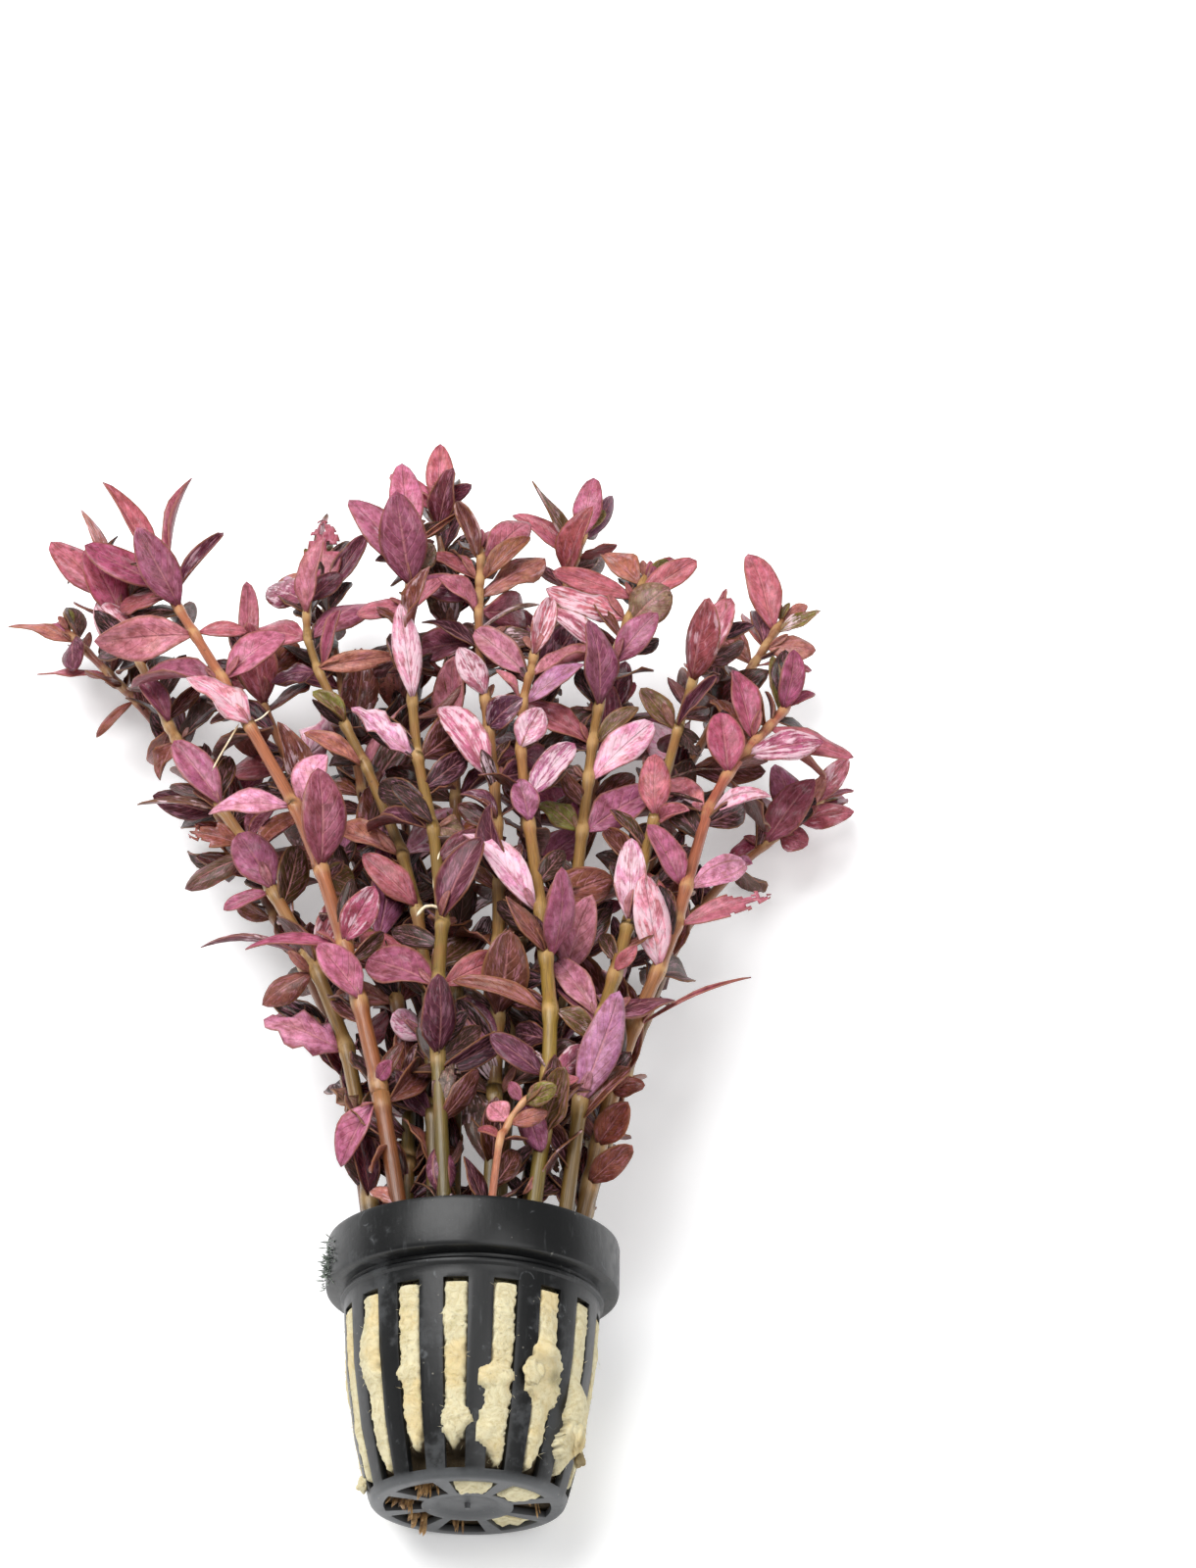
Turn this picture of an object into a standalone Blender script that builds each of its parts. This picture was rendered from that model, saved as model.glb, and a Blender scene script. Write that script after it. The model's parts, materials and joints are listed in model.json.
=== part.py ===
"""Rotala in its net pot, lying on its side as a loose bunch of stem plants.

The pot lies along +Y with its foot towards -Y, and the shoots fan out beyond its mouth.
Sizes below are in millimetres and become metres where a mesh is made.
"""
import math
import random
from collections import namedtuple

import bmesh
import bpy
from mathutils import Matrix, Vector
from mathutils.bvhtree import BVHTree

MM = 0.001
GAP = 0.3                     # clearance between pieces that touch
TINY = 0.05                   # an angle, or a share, that counts as none
MERGE = 0.00005               # points of the turned cup nearer than this, in metres, are one

# Net pot: a turned cup with a wide collar at its mouth
POT_STEPS = 32
WALL = 1.0
BODY = [(0.0, 14.4), (1.3, 14.8), (10.0, 17.0), (20.0, 18.5), (29.2, 19.15), (32.7, 19.3)]
COLLAR_RADIUS = 22.1
COLLAR_START = 33.0
RIM = 41.0
SLOTS = POT_STEPS // 2        # every second flat of the turned body is open
SLOT_START = 1.3
SLOT_END = 29.2
SPOKE_EVERY = 4               # one flat in four of the foot is a spoke
SPOKE_FLAT = 2                # the flat of the first spoke
FOOT_HOLE_RADII = (6.8, 12.4)
YAW = math.radians(0.75)      # the pot's axis points slightly to the right
LEAN = math.radians(14.3)     # and rises towards the mouth, which the lowest shoots hold up

# Rock wool
WOOL_TOP = 33.0
WOOL_FOOT = WALL + GAP
RIB_PROUD = 0.5
RIB_RAGGED = 0.7
RIB_NARROW = 0.2              # the most that a rib's front is narrower than its slot
RIB_CLEAR = 0.1               # kept between a rib and the floor
WOOL_SEED = 5
SOCKET_DEPTH = 4.0
SOCKET_OVER = 3.0             # how far the sockets' cutter stands out of the wool

# Stems
STEM_TAPER = 0.55             # tip diameter over root diameter
TAPER_POWER = 1.5
STEM_LIP = 1.5                # straight run of a stem over the wool
FIRST_NODE = 10.0             # lowest place of a leaf node
NODE_HALF = 1.2               # half the length of a stem's leaf node
TIP_NODES = [1.2, 5.2, 10.5, 17.5, 26.0, 36.0]   # leaf nodes back from the tip
NODE_STEP = 13.0
NODE_ROOM = 9.1               # least run between a regular node and its neighbours
CROWN = 12.0                  # nodes may crowd together this near to the tip
SAME_NODE = 2.6               # nodes nearer than this along a stem are one
RING_CORNER = 1.15            # reach of a ring's corners over the stem's radius
RING_ROOM = 0.2               # least run between two rings
BUD = 3.0

# Leaves
LEAF_THICK = 0.35             # half thickness at the midrib
ROOT_REACH = 1.5              # half the diagonal of the face that a leaf grows from
ROOT_FADE = 4                 # how soon that face's reach is lost along the leaf
ROOT_INSET = 0.8              # a leaf's base lies at this share of the stem's radius
BLADE_START = 0.36            # beyond this share a leaf stands clear of its own stem
LEAF_BROAD = 0.46             # where a leaf is widest, along its length
LEAF_SLIM = 0.5               # width over length
LEAF_BOW = 0.04               # rise of the broadest section over the leaf's length
TIP_DROOP = 0.5               # fall of the tip over that rise
LEAF_SAG = 0.12               # how far a leaf's direction hangs down
YOUNG_RUN = 14.0              # leaves grow to their full size over this run from the tip
OLD_RUN = 100.0               # and are a little smaller again this far back
YOUNG_LENGTH = 0.72           # length share at the tip, its growth and its later loss
LENGTH_GAIN = 0.32
LENGTH_LOSS = 0.22
YOUNG_PITCH = 20              # angle from the stem at the tip, in degrees, and its changes
PITCH_GAIN = 42
PITCH_LOSS = 16
PITCH_POWER = 0.7
PITCH_LEAST = 0.15

# Spread of the leaves that nothing fixes, and how a leaf without room is changed
MAX_TRIES = 14
PITCH_SPREAD = 0.16
SWING_SPREAD = 0.22
ROLL_SPREAD = 0.42
LENGTH_SPREAD = 0.08
WIDTH_SPREAD = 0.07
LOOSEN = 0.12                 # growth of those angles with each try
SHRINK = 0.035                # loss of length with each try
SHOWN_CLIMB = 0.055           # rise of a leaf's tip, in millimetres for each pixel upwards
SHOWN_SHIFT = 1.1             # steps of a hand-placed tip up or down
SHOWN_TURN = 4                # turn of a hand-placed leaf with each try, in degrees
TIP_LOWEST = 0.6

# The reference view that places are read in, as pixels of a 1220 by 1600 picture
VIEW_MIDDLE = (610, 800)
VIEW_FOCUS = 5454             # focal length in pixels
VIEW_ELEVATION = math.radians(50.5)
VIEW_DISTANCE = 896.0
VIEW_TARGET = Vector((19.3, 150.0, 0.0))

# Outline of the bunch in that view, which the tips of the other leaves stay inside
OUTLINE = [(46, 556), (96, 494), (190, 486), (230, 540), (204, 590), (236, 606), (262, 590),
           (304, 572), (322, 526), (360, 500), (392, 480), (448, 452), (484, 494), (540, 494),
           (578, 526), (606, 488), (630, 510), (642, 574), (706, 572), (738, 584), (768, 558),
           (798, 606), (838, 628), (832, 684), (816, 734), (868, 772), (870, 828), (850, 854),
           (762, 880), (780, 914), (702, 958), (702, 1004), (668, 1052), (650, 1090),
           (642, 1170), (610, 1212), (602, 1236), (368, 1236), (344, 1196), (336, 1112),
           (270, 1042), (266, 1004), (296, 968), (262, 930), (188, 902), (164, 874), (186, 846),
           (142, 816), (154, 762), (150, 734), (102, 752), (84, 700), (62, 650), (62, 612)]

# Leaves placed by hand: the pixels of the stem's node and of the leaf's tip, the leaf's
# width in millimetres and its roll in degrees
Shown = namedtuple("Shown", "node tip width roll", defaults=(0,))

# root: place in the wool's top, across and over the pot's axis
# way: points that the stem passes on its way to the tip
# thick: the stem's diameter at its root; leaf: a full leaf's length
# bare: how far above the wool the leaves start
Shoot = namedtuple("Shoot", "root way thick leaf bare seed shown")

SHOOTS = {
    "shoot_front_left": Shoot(
        (-9.5, 11.5), [(-15, 64, 40), (-25, 104, 39), (-37, 134, 35), (-54, 171, 30)],
        3.0, 15.5, 12, 11, [
            Shown((163, 600), (86, 562), 6.4), Shown((168, 585), (104, 492), 5.6, 20),
            Shown((168, 590), (187, 484), 4.4, -25), Shown((176, 606), (228, 542), 5.6),
            Shown((204, 641), (252, 643), 3.4), Shown((240, 683), (288, 642), 6.6),
            Shown((252, 742), (194, 686), 7.2), Shown((290, 822), (331, 768), 6.6),
            Shown((290, 826), (212, 822), 5.2), Shown((318, 888), (361, 906), 6.0),
            Shown((345, 960), (382, 904), 5.8), Shown((345, 966), (250, 962), 3.8, 20),
            Shown((367, 1025), (325, 962), 6.6), Shown((387, 1106), (400, 1082), 2.8),
            Shown((388, 1125), (346, 1190), 6.2)]),
    "shoot_left": Shoot(
        (-14.0, 4.5), [(-20, 75, 29), (-35, 112, 26), (-50, 141, 24), (-63, 176, 22)],
        2.8, 14.5, 14, 12, [
            Shown((115, 610), (52, 551), 6.6), Shown((118, 602), (87, 518), 4.4, 30),
            Shown((139, 675), (97, 613), 6.6), Shown((172, 740), (142, 690), 5.6),
            Shown((178, 757), (162, 796), 5.2), Shown((213, 823), (178, 757), 6.2),
            Shown((212, 830), (140, 819), 3.6, 25), Shown((240, 868), (192, 848), 5.0),
            Shown((242, 880), (187, 903), 5.0), Shown((268, 908), (242, 847), 7.0),
            Shown((272, 915), (228, 929), 3.4), Shown((305, 978), (207, 953), 2.6, 30),
            Shown((318, 992), (266, 1022), 5.4), Shown((352, 1068), (270, 1036), 7.0),
            Shown((383, 1140), (336, 1113), 4.4)]),
    "shoot_low_left": Shoot(
        (-14.5, -1.5), [(-21, 80, 19), (-34, 113, 15), (-50, 147, 12), (-70, 174, 11)],
        2.6, 13.0, 20, 13, [
            Shown((68, 646), (9, 636), 3.4), Shown((78, 655), (74, 684), 4.4),
            Shown((76, 652), (70, 620), 4.4), Shown((114, 685), (38, 689), 2.6, 20),
            Shown((128, 700), (87, 684), 4.6), Shown((140, 716), (98, 752), 3.0, 25)]),
    "shoot_under_left": Shoot(
        (-10.0, 6.0), [(-11, 77, 30), (-25, 118, 24), (-39, 160, 19)],
        2.6, 14.0, 16, 14, [
            Shown((398, 950), (403, 838), 7.4), Shown((404, 1020), (428, 978), 4.6),
            Shown((258, 640), (254, 588), 3.8)]),
    "shoot_mid_left": Shoot(
        (-5.5, 9.0), [(-7, 80, 35), (-13, 114, 32), (-27, 152, 29), (-29, 168, 28)],
        2.6, 14.5, 20, 15, [
            Shown((345, 614), (349, 586), 4.4), Shown((327, 677), (348, 622), 5.2),
            Shown((330, 682), (402, 669), 3.8, 15), Shown((326, 684), (276, 692), 4.4),
            Shown((350, 738), (320, 704), 4.4), Shown((366, 782), (310, 748), 4.6),
            Shown((415, 1062), (400, 1034), 5.4)]),
    "shoot_centre_left": Shoot(
        (-3.5, 14.5), [(-5, 66, 44), (-5, 96, 42), (-10, 130, 37), (-12, 174, 34)],
        2.6, 15.0, 22, 16, [
            Shown((414, 574), (358, 505), 7.0), Shown((413, 540), (411, 470), 5.8),
            Shown((414, 536), (468, 518), 2.2, 30), Shown((415, 578), (443, 556), 5.2),
            Shown((418, 620), (363, 624), 4.6), Shown((419, 620), (454, 590), 3.4),
            Shown((421, 716), (408, 617), 4.8, 10), Shown((423, 772), (357, 724), 5.4),
            Shown((438, 838), (472, 850), 5.4), Shown((440, 846), (401, 800), 3.4)]),
    "shoot_centre": Shoot(
        (2.5, 11.0), [(4, 80, 40), (3, 117, 38), (0, 151, 35), (0, 172, 34)],
        2.7, 15.0, 24, 17, [
            Shown((489, 567), (468, 513), 7.2), Shown((490, 592), (541, 547), 5.0),
            Shown((490, 570), (541, 528), 6.0), Shown((487, 626), (452, 586), 5.6),
            Shown((493, 655), (550, 652), 4.8), Shown((488, 714), (468, 660), 4.8),
            Shown((495, 745), (529, 712), 6.0), Shown((497, 793), (450, 712), 7.0),
            Shown((507, 840), (474, 806), 4.6)]),
    "shoot_centre_right": Shoot(
        (8.5, 12.5), [(12, 60, 44), (11, 84, 43), (7, 127, 38), (9, 148, 36)],
        2.8, 15.0, 16, 18, [
            Shown((548, 718), (595, 676), 4.6), Shown((540, 766), (552, 722), 5.4),
            Shown((542, 812), (586, 758), 5.6), Shown((538, 840), (530, 794), 4.8),
            Shown((545, 928), (480, 841), 6.2), Shown((552, 972), (512, 918), 4.4),
            Shown((556, 974), (577, 888), 5.6), Shown((559, 1026), (462, 998), 4.8, 10),
            Shown((561, 1030), (607, 1057), 5.0), Shown((563, 1096), (500, 1057), 4.8)]),
    "shoot_mid_right": Shoot(
        (7.0, 6.5), [(14, 82, 34), (17, 115, 33), (20, 144, 31), (27, 170, 29)],
        2.7, 15.0, 20, 19, [
            Shown((640, 606), (564, 584), 4.4), Shown((632, 628), (556, 604), 6.0),
            Shown((634, 628), (681, 598), 7.6), Shown((640, 602), (710, 572), 5.0),
            Shown((626, 668), (552, 620), 6.0), Shown((626, 676), (670, 624), 5.6),
            Shown((614, 722), (578, 752), 6.2), Shown((612, 758), (652, 722), 4.4),
            Shown((602, 796), (666, 736), 6.2), Shown((591, 848), (553, 815), 4.8)]),
    "shoot_right": Shoot(
        (13.0, 8.0), [(17, 56, 41), (23, 85, 39), (31, 129, 33), (37, 156, 30)],
        2.7, 14.5, 18, 20, [
            Shown((707, 682), (747, 614), 6.4), Shown((702, 738), (730, 690), 5.4),
            Shown((689, 742), (654, 704), 4.4), Shown((674, 838), (668, 770), 5.2),
            Shown((676, 838), (702, 826), 4.0), Shown((639, 944), (647, 857), 5.6),
            Shown((628, 994), (650, 965), 2.6), Shown((606, 1128), (636, 1010), 6.2)]),
    "shoot_front_right": Shoot(
        (14.5, 3.0), [(22, 64, 34), (31, 92, 34), (38, 122, 31), (50, 144, 27)],
        2.9, 14.5, 10, 21, [
            Shown((797, 726), (788, 668), 3.0), Shown((798, 726), (813, 664), 4.8),
            Shown((776, 756), (749, 681), 5.8), Shown((785, 744), (870, 775), 5.0),
            Shown((766, 774), (840, 756), 5.8), Shown((738, 786), (735, 726), 6.8),
            Shown((728, 830), (786, 809), 4.8), Shown((705, 906), (661, 841), 6.0),
            Shown((702, 948), (787, 914), 4.4), Shown((670, 990), (656, 892), 6.4),
            Shown((655, 1046), (765, 992), 1.6), Shown((622, 1118), (652, 1104), 3.4),
            Shown((604, 1170), (641, 1124), 5.4), Shown((594, 1206), (645, 1167), 4.4)]),
    "shoot_low_right": Shoot(
        (13.5, -3.5), [(25, 80, 20), (36, 114, 13), (56, 139, 9)],
        2.6, 13.5, 16, 22, [
            Shown((805, 815), (870, 825), 5.2), Shown((800, 818), (842, 792), 3.0),
            Shown((775, 828), (824, 862), 5.4), Shown((760, 836), (744, 881), 6.2),
            Shown((800, 812), (792, 778), 5.6), Shown((740, 872), (766, 880), 2.6)]),
    "shoot_back_right": Shoot(
        (11.0, -8.5), [(23, 95, 17), (32, 135, 16), (50, 172, 16)],
        2.6, 13.5, 24, 23, [
            Shown((757, 622), (767, 558), 6.2), Shown((800, 634), (838, 628), 3.4),
            Shown((765, 650), (832, 662), 5.6)]),
    "shoot_back_centre": Shoot(
        (3.0, -2.0), [(7, 95, 24), (9, 150, 22), (17, 186, 23)],
        2.6, 14.0, 56, 24, [
            Shown((578, 543), (605, 486), 5.0), Shown((590, 546), (629, 503), 3.4),
            Shown((565, 556), (524, 522), 4.6), Shown((560, 560), (538, 494), 4.6)]),
    "shoot_back_left": Shoot(
        (-3.0, 2.0), [(-3, 100, 25), (-5, 160, 24), (-8, 188, 28)],
        2.6, 14.0, 44, 25, [
            Shown((440, 494), (449, 452), 5.0), Shown((445, 500), (481, 494), 3.2),
            Shown((440, 505), (398, 485), 4.8)]),
    "shoot_far_left": Shoot(
        (-6.5, -4.0), [(-13, 95, 19), (-22, 150, 18), (-28, 181, 20)],
        2.6, 13.5, 52, 26, [
            Shown((335, 600), (329, 524), 6.4), Shown((330, 590), (282, 598), 3.2),
            Shown((332, 610), (292, 588), 6.4), Shown((340, 600), (374, 545), 4.6)]),
    "shoot_under_centre": Shoot(
        (-3.0, -10.5), [(-7, 90, 10), (-12, 130, 9), (-14, 162, 9)],
        2.5, 13.0, 33, 27, []),
    "shoot_under_right": Shoot(
        (5.0, -10.0), [(12, 90, 11), (16, 125, 10), (22, 158, 10)],
        2.5, 13.0, 33, 28, []),
    "short_side_shoot": Shoot(
        (2.4, 16.2), [(3.8, 39.5, 44.8), (6.0, 46.8, 46), (8.8, 50.6, 47), (10.8, 52.4, 47)],
        1.6, 6.5, 14, 29, [
            Shown((523, 1148), (499, 1127), 4.4), Shown((544, 1126), (566, 1108), 3.6),
            Shown((540, 1130), (552, 1176), 4.6)]),
}

POT_BLACK = (0.028, 0.031, 0.035)
WOOL_CREAM = (0.72, 0.60, 0.36)
LEAF_COLOURS = [(0.36, 0.10, 0.17), (0.44, 0.12, 0.22), (0.26, 0.08, 0.09), (0.20, 0.09, 0.07)]


def body_radius(along):
    """The pot's outer radius at a distance from its foot."""
    for (s0, r0), (s1, r1) in zip(BODY, BODY[1:]):
        if along <= s1:
            return r0 + (r1 - r0) * (along - s0) / (s1 - s0)
    return BODY[-1][1]


# Height of the foot's middle when the pot lies on the fullest point of its body
SEAT = max(r * math.cos(LEAN) - s * math.sin(LEAN) for s, r in BODY)
POT_PLACE = Matrix.Translation((0, 0, SEAT)) @ Matrix.Rotation(-YAW, 4, "Z") \
    @ Matrix.Rotation(LEAN - math.pi / 2, 4, "X")
POT_AXIS = (POT_PLACE.to_3x3() @ Vector((0, 0, 1))).normalized()


VIEW_AHEAD = Vector((0, math.cos(VIEW_ELEVATION), -math.sin(VIEW_ELEVATION)))
VIEW_UP = Vector((0, math.sin(VIEW_ELEVATION), math.cos(VIEW_ELEVATION)))
VIEW_POINT = VIEW_TARGET - VIEW_AHEAD * VIEW_DISTANCE


def in_pot(across, over, along):
    """A point given across, over and along the pot's axis, in the plant's frame."""
    return POT_PLACE @ Vector((across, -over, along))


def pixel_of(place):
    """Where a point of the plant's frame shows in the reference view."""
    ray = place - VIEW_POINT
    deep = ray.dot(VIEW_AHEAD)
    return (VIEW_MIDDLE[0] + VIEW_FOCUS * ray.x / deep,
            VIEW_MIDDLE[1] - VIEW_FOCUS * ray.dot(VIEW_UP) / deep)


def seen_at(pixel, height):
    """The point at a height over the floor that shows at a pixel."""
    ray = VIEW_AHEAD * VIEW_FOCUS + Vector((pixel[0] - VIEW_MIDDLE[0], 0, 0)) \
        + VIEW_UP * (VIEW_MIDDLE[1] - pixel[1])
    return VIEW_POINT + ray * (height - VIEW_POINT.z) / ray.z


def fresh_collection(name):
    collection = bpy.data.collections.new(name)
    bpy.context.scene.collection.children.link(collection)
    return collection


def material(name, colour, roughness):
    """A Principled material of one colour."""
    made = bpy.data.materials.new(name)
    made.use_nodes = True
    shader = made.node_tree.nodes["Principled BSDF"]
    shader.inputs["Base Color"].default_value = (*colour, 1.0)
    shader.inputs["Roughness"].default_value = roughness
    shader.inputs["Metallic"].default_value = 0.0
    made.diffuse_color = (*colour, 1.0)
    return made


def object_from(bm, name, collection, parent, finish=None):
    """Turn a bmesh in millimetres into an object in metres."""
    bmesh.ops.scale(bm, vec=(MM, MM, MM), verts=bm.verts)
    mesh = bpy.data.meshes.new(name)
    bm.to_mesh(mesh)
    bm.free()
    made = bpy.data.objects.new(name, mesh)
    collection.objects.link(made)
    made.parent = parent
    if finish:
        mesh.materials.append(finish)
    return made


def face_outwards(bm):
    """Turn a closed mesh's faces outwards."""
    bmesh.ops.recalc_face_normals(bm, faces=bm.faces)
    if bm.calc_volume(signed=True) < 0:
        bmesh.ops.reverse_faces(bm, faces=bm.faces)


def cut(target, cutter):
    """Take a cutter's shape out of an object."""
    cutter.hide_render = True
    cutter.display_type = "WIRE"
    boolean = target.modifiers.new("cut " + cutter.name, "BOOLEAN")
    boolean.operation = "DIFFERENCE"
    boolean.solver = "EXACT"
    boolean.object = cutter


# Net pot

def make_pot(parts, holder):
    """A turned cup with open flats: the side slots and the openings in its foot."""
    bm = bmesh.new()
    outer = [(COLLAR_RADIUS, RIM), (COLLAR_RADIUS, COLLAR_START)]
    outer += [(r, s) for s, r in reversed(BODY)]
    outer += [(r, 0.0) for r in reversed(FOOT_HOLE_RADII)] + [(0.0, 0.0)]
    corners = [bm.verts.new((r, 0, s)) for r, s in outer]
    for first, second in zip(corners, corners[1:]):
        bm.edges.new((first, second))
    finish = material("pot_plastic", POT_BLACK, 0.4)
    pot = object_from(bm, "net_pot", parts, holder, finish)
    turn = pot.modifiers.new("turn", "SCREW")
    turn.steps = turn.render_steps = POT_STEPS
    turn.use_merge_vertices = True
    turn.merge_threshold = MERGE
    pot.data = bpy.data.meshes.new_from_object(
        pot.evaluated_get(bpy.context.evaluated_depsgraph_get()))
    pot.modifiers.clear()
    open_flats(pot.data)
    wall = pot.modifiers.new("wall", "SOLIDIFY")
    wall.thickness = WALL * MM
    wall.offset = -1.0
    wall.use_even_offset = True
    return pot


def open_flats(mesh):
    """Take out the flats of the slots and of the foot's openings."""
    bm = bmesh.new()
    bm.from_mesh(mesh)
    inner, outer = FOOT_HOLE_RADII
    gone = []
    for face in bm.faces:
        centre = face.calc_center_median() / MM
        reach = math.hypot(centre.x, centre.y)
        flat = math.floor(math.atan2(centre.y, centre.x) / (2 * math.pi) * POT_STEPS)
        slot = SLOT_START < centre.z < SLOT_END and flat % 2 == 1
        opening = centre.z < GAP and inner < reach < outer and flat % SPOKE_EVERY != SPOKE_FLAT
        if slot or opening:
            gone.append(face)
    bmesh.ops.delete(bm, geom=gone, context="FACES")
    bm.to_mesh(mesh)
    bm.free()


def slot_angle(index):
    """The middle of a slot's flat."""
    return 2 * math.pi * (index / SLOTS - 0.5 / POT_STEPS)


# Rock wool

def wool_radius(along):
    """The plug's radius, clear of the pot's inner flats."""
    return (body_radius(along) - WALL) * math.cos(math.pi / POT_STEPS) - GAP


def rib_half(along):
    """Half a rib's width, clear of the slot's sides."""
    flat = math.pi / POT_STEPS
    return body_radius(along) * math.sin(flat) - WALL * math.sin(2 * flat) - GAP


def make_wool(parts, holder, socket_cutter):
    """A plug that fills the pot, with ribs that swell out through the slots."""
    rng = random.Random(WOOL_SEED)
    bm = bmesh.new()
    waist = (SLOT_START + SLOT_END) / 2
    levels = [WOOL_FOOT, SLOT_START + GAP, waist, SLOT_END - GAP, WOOL_TOP]
    face = start_tube(bm, plug_ring(levels[0]))
    ribs = []
    for number, along in enumerate(levels[1:]):
        if number:
            face, around = extrude_cap(bm, face)
            if number < 3:
                ribs += around
        set_corners(face, plug_ring(along))
    for index in range(SLOTS):
        own = [f for f in ribs if f.is_valid and flat_angle(f, slot_angle(index)) < TINY]
        swell_rib(bm, own, slot_angle(index), rng)
    face_outwards(bm)
    wool = object_from(bm, "rock_wool", parts, holder, material("wool", WOOL_CREAM, 0.95))
    cut(wool, socket_cutter)
    return wool


def start_tube(bm, corners):
    """A closed prism of no height on the given corners; gives its top."""
    ring = bmesh.ops.create_circle(bm, cap_ends=True, segments=len(corners), radius=1.0)["verts"]
    foot = ring[0].link_faces[0]
    set_corners(foot, corners)
    copy = bmesh.ops.extrude_face_region(bm, geom=[foot], use_keep_orig=True)["geom"]
    return next(f for f in copy if isinstance(f, bmesh.types.BMFace))


def extrude_cap(bm, face):
    """Push a cap face outwards; gives the new cap and the faces round it."""
    new = bmesh.ops.extrude_discrete_faces(bm, faces=[face])["faces"][0]
    around = [f for e in new.edges for f in e.link_faces if f is not new]
    return new, around


def flat_angle(face, angle):
    centre = face.calc_center_median()
    turn = math.atan2(centre.y, centre.x) - angle
    return abs((turn + math.pi) % (2 * math.pi) - math.pi)


def plug_ring(along):
    """A ring of the plug, with corners at the two edges of each slot's rib."""
    radius = wool_radius(along)
    spread = math.asin(rib_half(max(along, SLOT_START)) / radius)
    angles = [slot_angle(index) + side * spread for index in range(SLOTS) for side in (-1, 1)]
    return [Vector((radius * math.cos(a), radius * math.sin(a), along)) for a in angles]


def floor_reach(along, out):
    """How far a rib may reach before it meets the floor."""
    fall = -(POT_PLACE.to_3x3() @ out).z
    height = (POT_PLACE @ Vector((0, 0, along))).z
    return height / fall if fall > TINY else math.inf


def swell_rib(bm, faces, angle, rng):
    """Push one rib out through its slot, with a ragged front."""
    pushed = bmesh.ops.extrude_face_region(bm, geom=faces)["geom"]
    bmesh.ops.delete(bm, geom=faces, context="FACES")
    out = Vector((math.cos(angle), math.sin(angle), 0))
    across = Vector((-math.sin(angle), math.cos(angle), 0))
    for vert in [v for v in pushed if isinstance(v, bmesh.types.BMVert)]:
        side = 1 if vert.co.dot(across) > 0 else -1
        reach = body_radius(vert.co.z) + RIB_PROUD + rng.uniform(-RIB_RAGGED, RIB_RAGGED)
        reach = min(reach, floor_reach(vert.co.z, out) - RIB_CLEAR)
        width = rib_half(vert.co.z) - rng.uniform(0, RIB_NARROW)
        vert.co = out * reach + across * side * width + Vector((0, 0, vert.co.z))


# Shoots

def smooth_way(points, step=1.0):
    """A Catmull-Rom curve through the points, read about every millimetre."""
    ends = [points[0] * 2 - points[1]] + points + [points[-1] * 2 - points[-2]]
    curve = []
    for a, b, c, d in zip(ends, ends[1:], ends[2:], ends[3:]):
        count = max(2, round((c - b).length / step))
        for number in range(count):
            t = number / count
            curve.append(0.5 * (2 * b + (c - a) * t + (2 * a - 5 * b + 4 * c - d) * t * t
                                + (3 * b - a - 3 * c + d) * t ** 3))
    return curve + [points[-1]]


def in_outline(pixel):
    """Whether a pixel of the reference view lies inside the bunch's outline."""
    x, y = pixel
    inside = False
    for (x0, y0), (x1, y1) in zip(OUTLINE, OUTLINE[1:] + OUTLINE[:1]):
        if (y0 > y) != (y1 > y) and x < x0 + (x1 - x0) * (y - y0) / (y1 - y0):
            inside = not inside
    return inside


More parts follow.
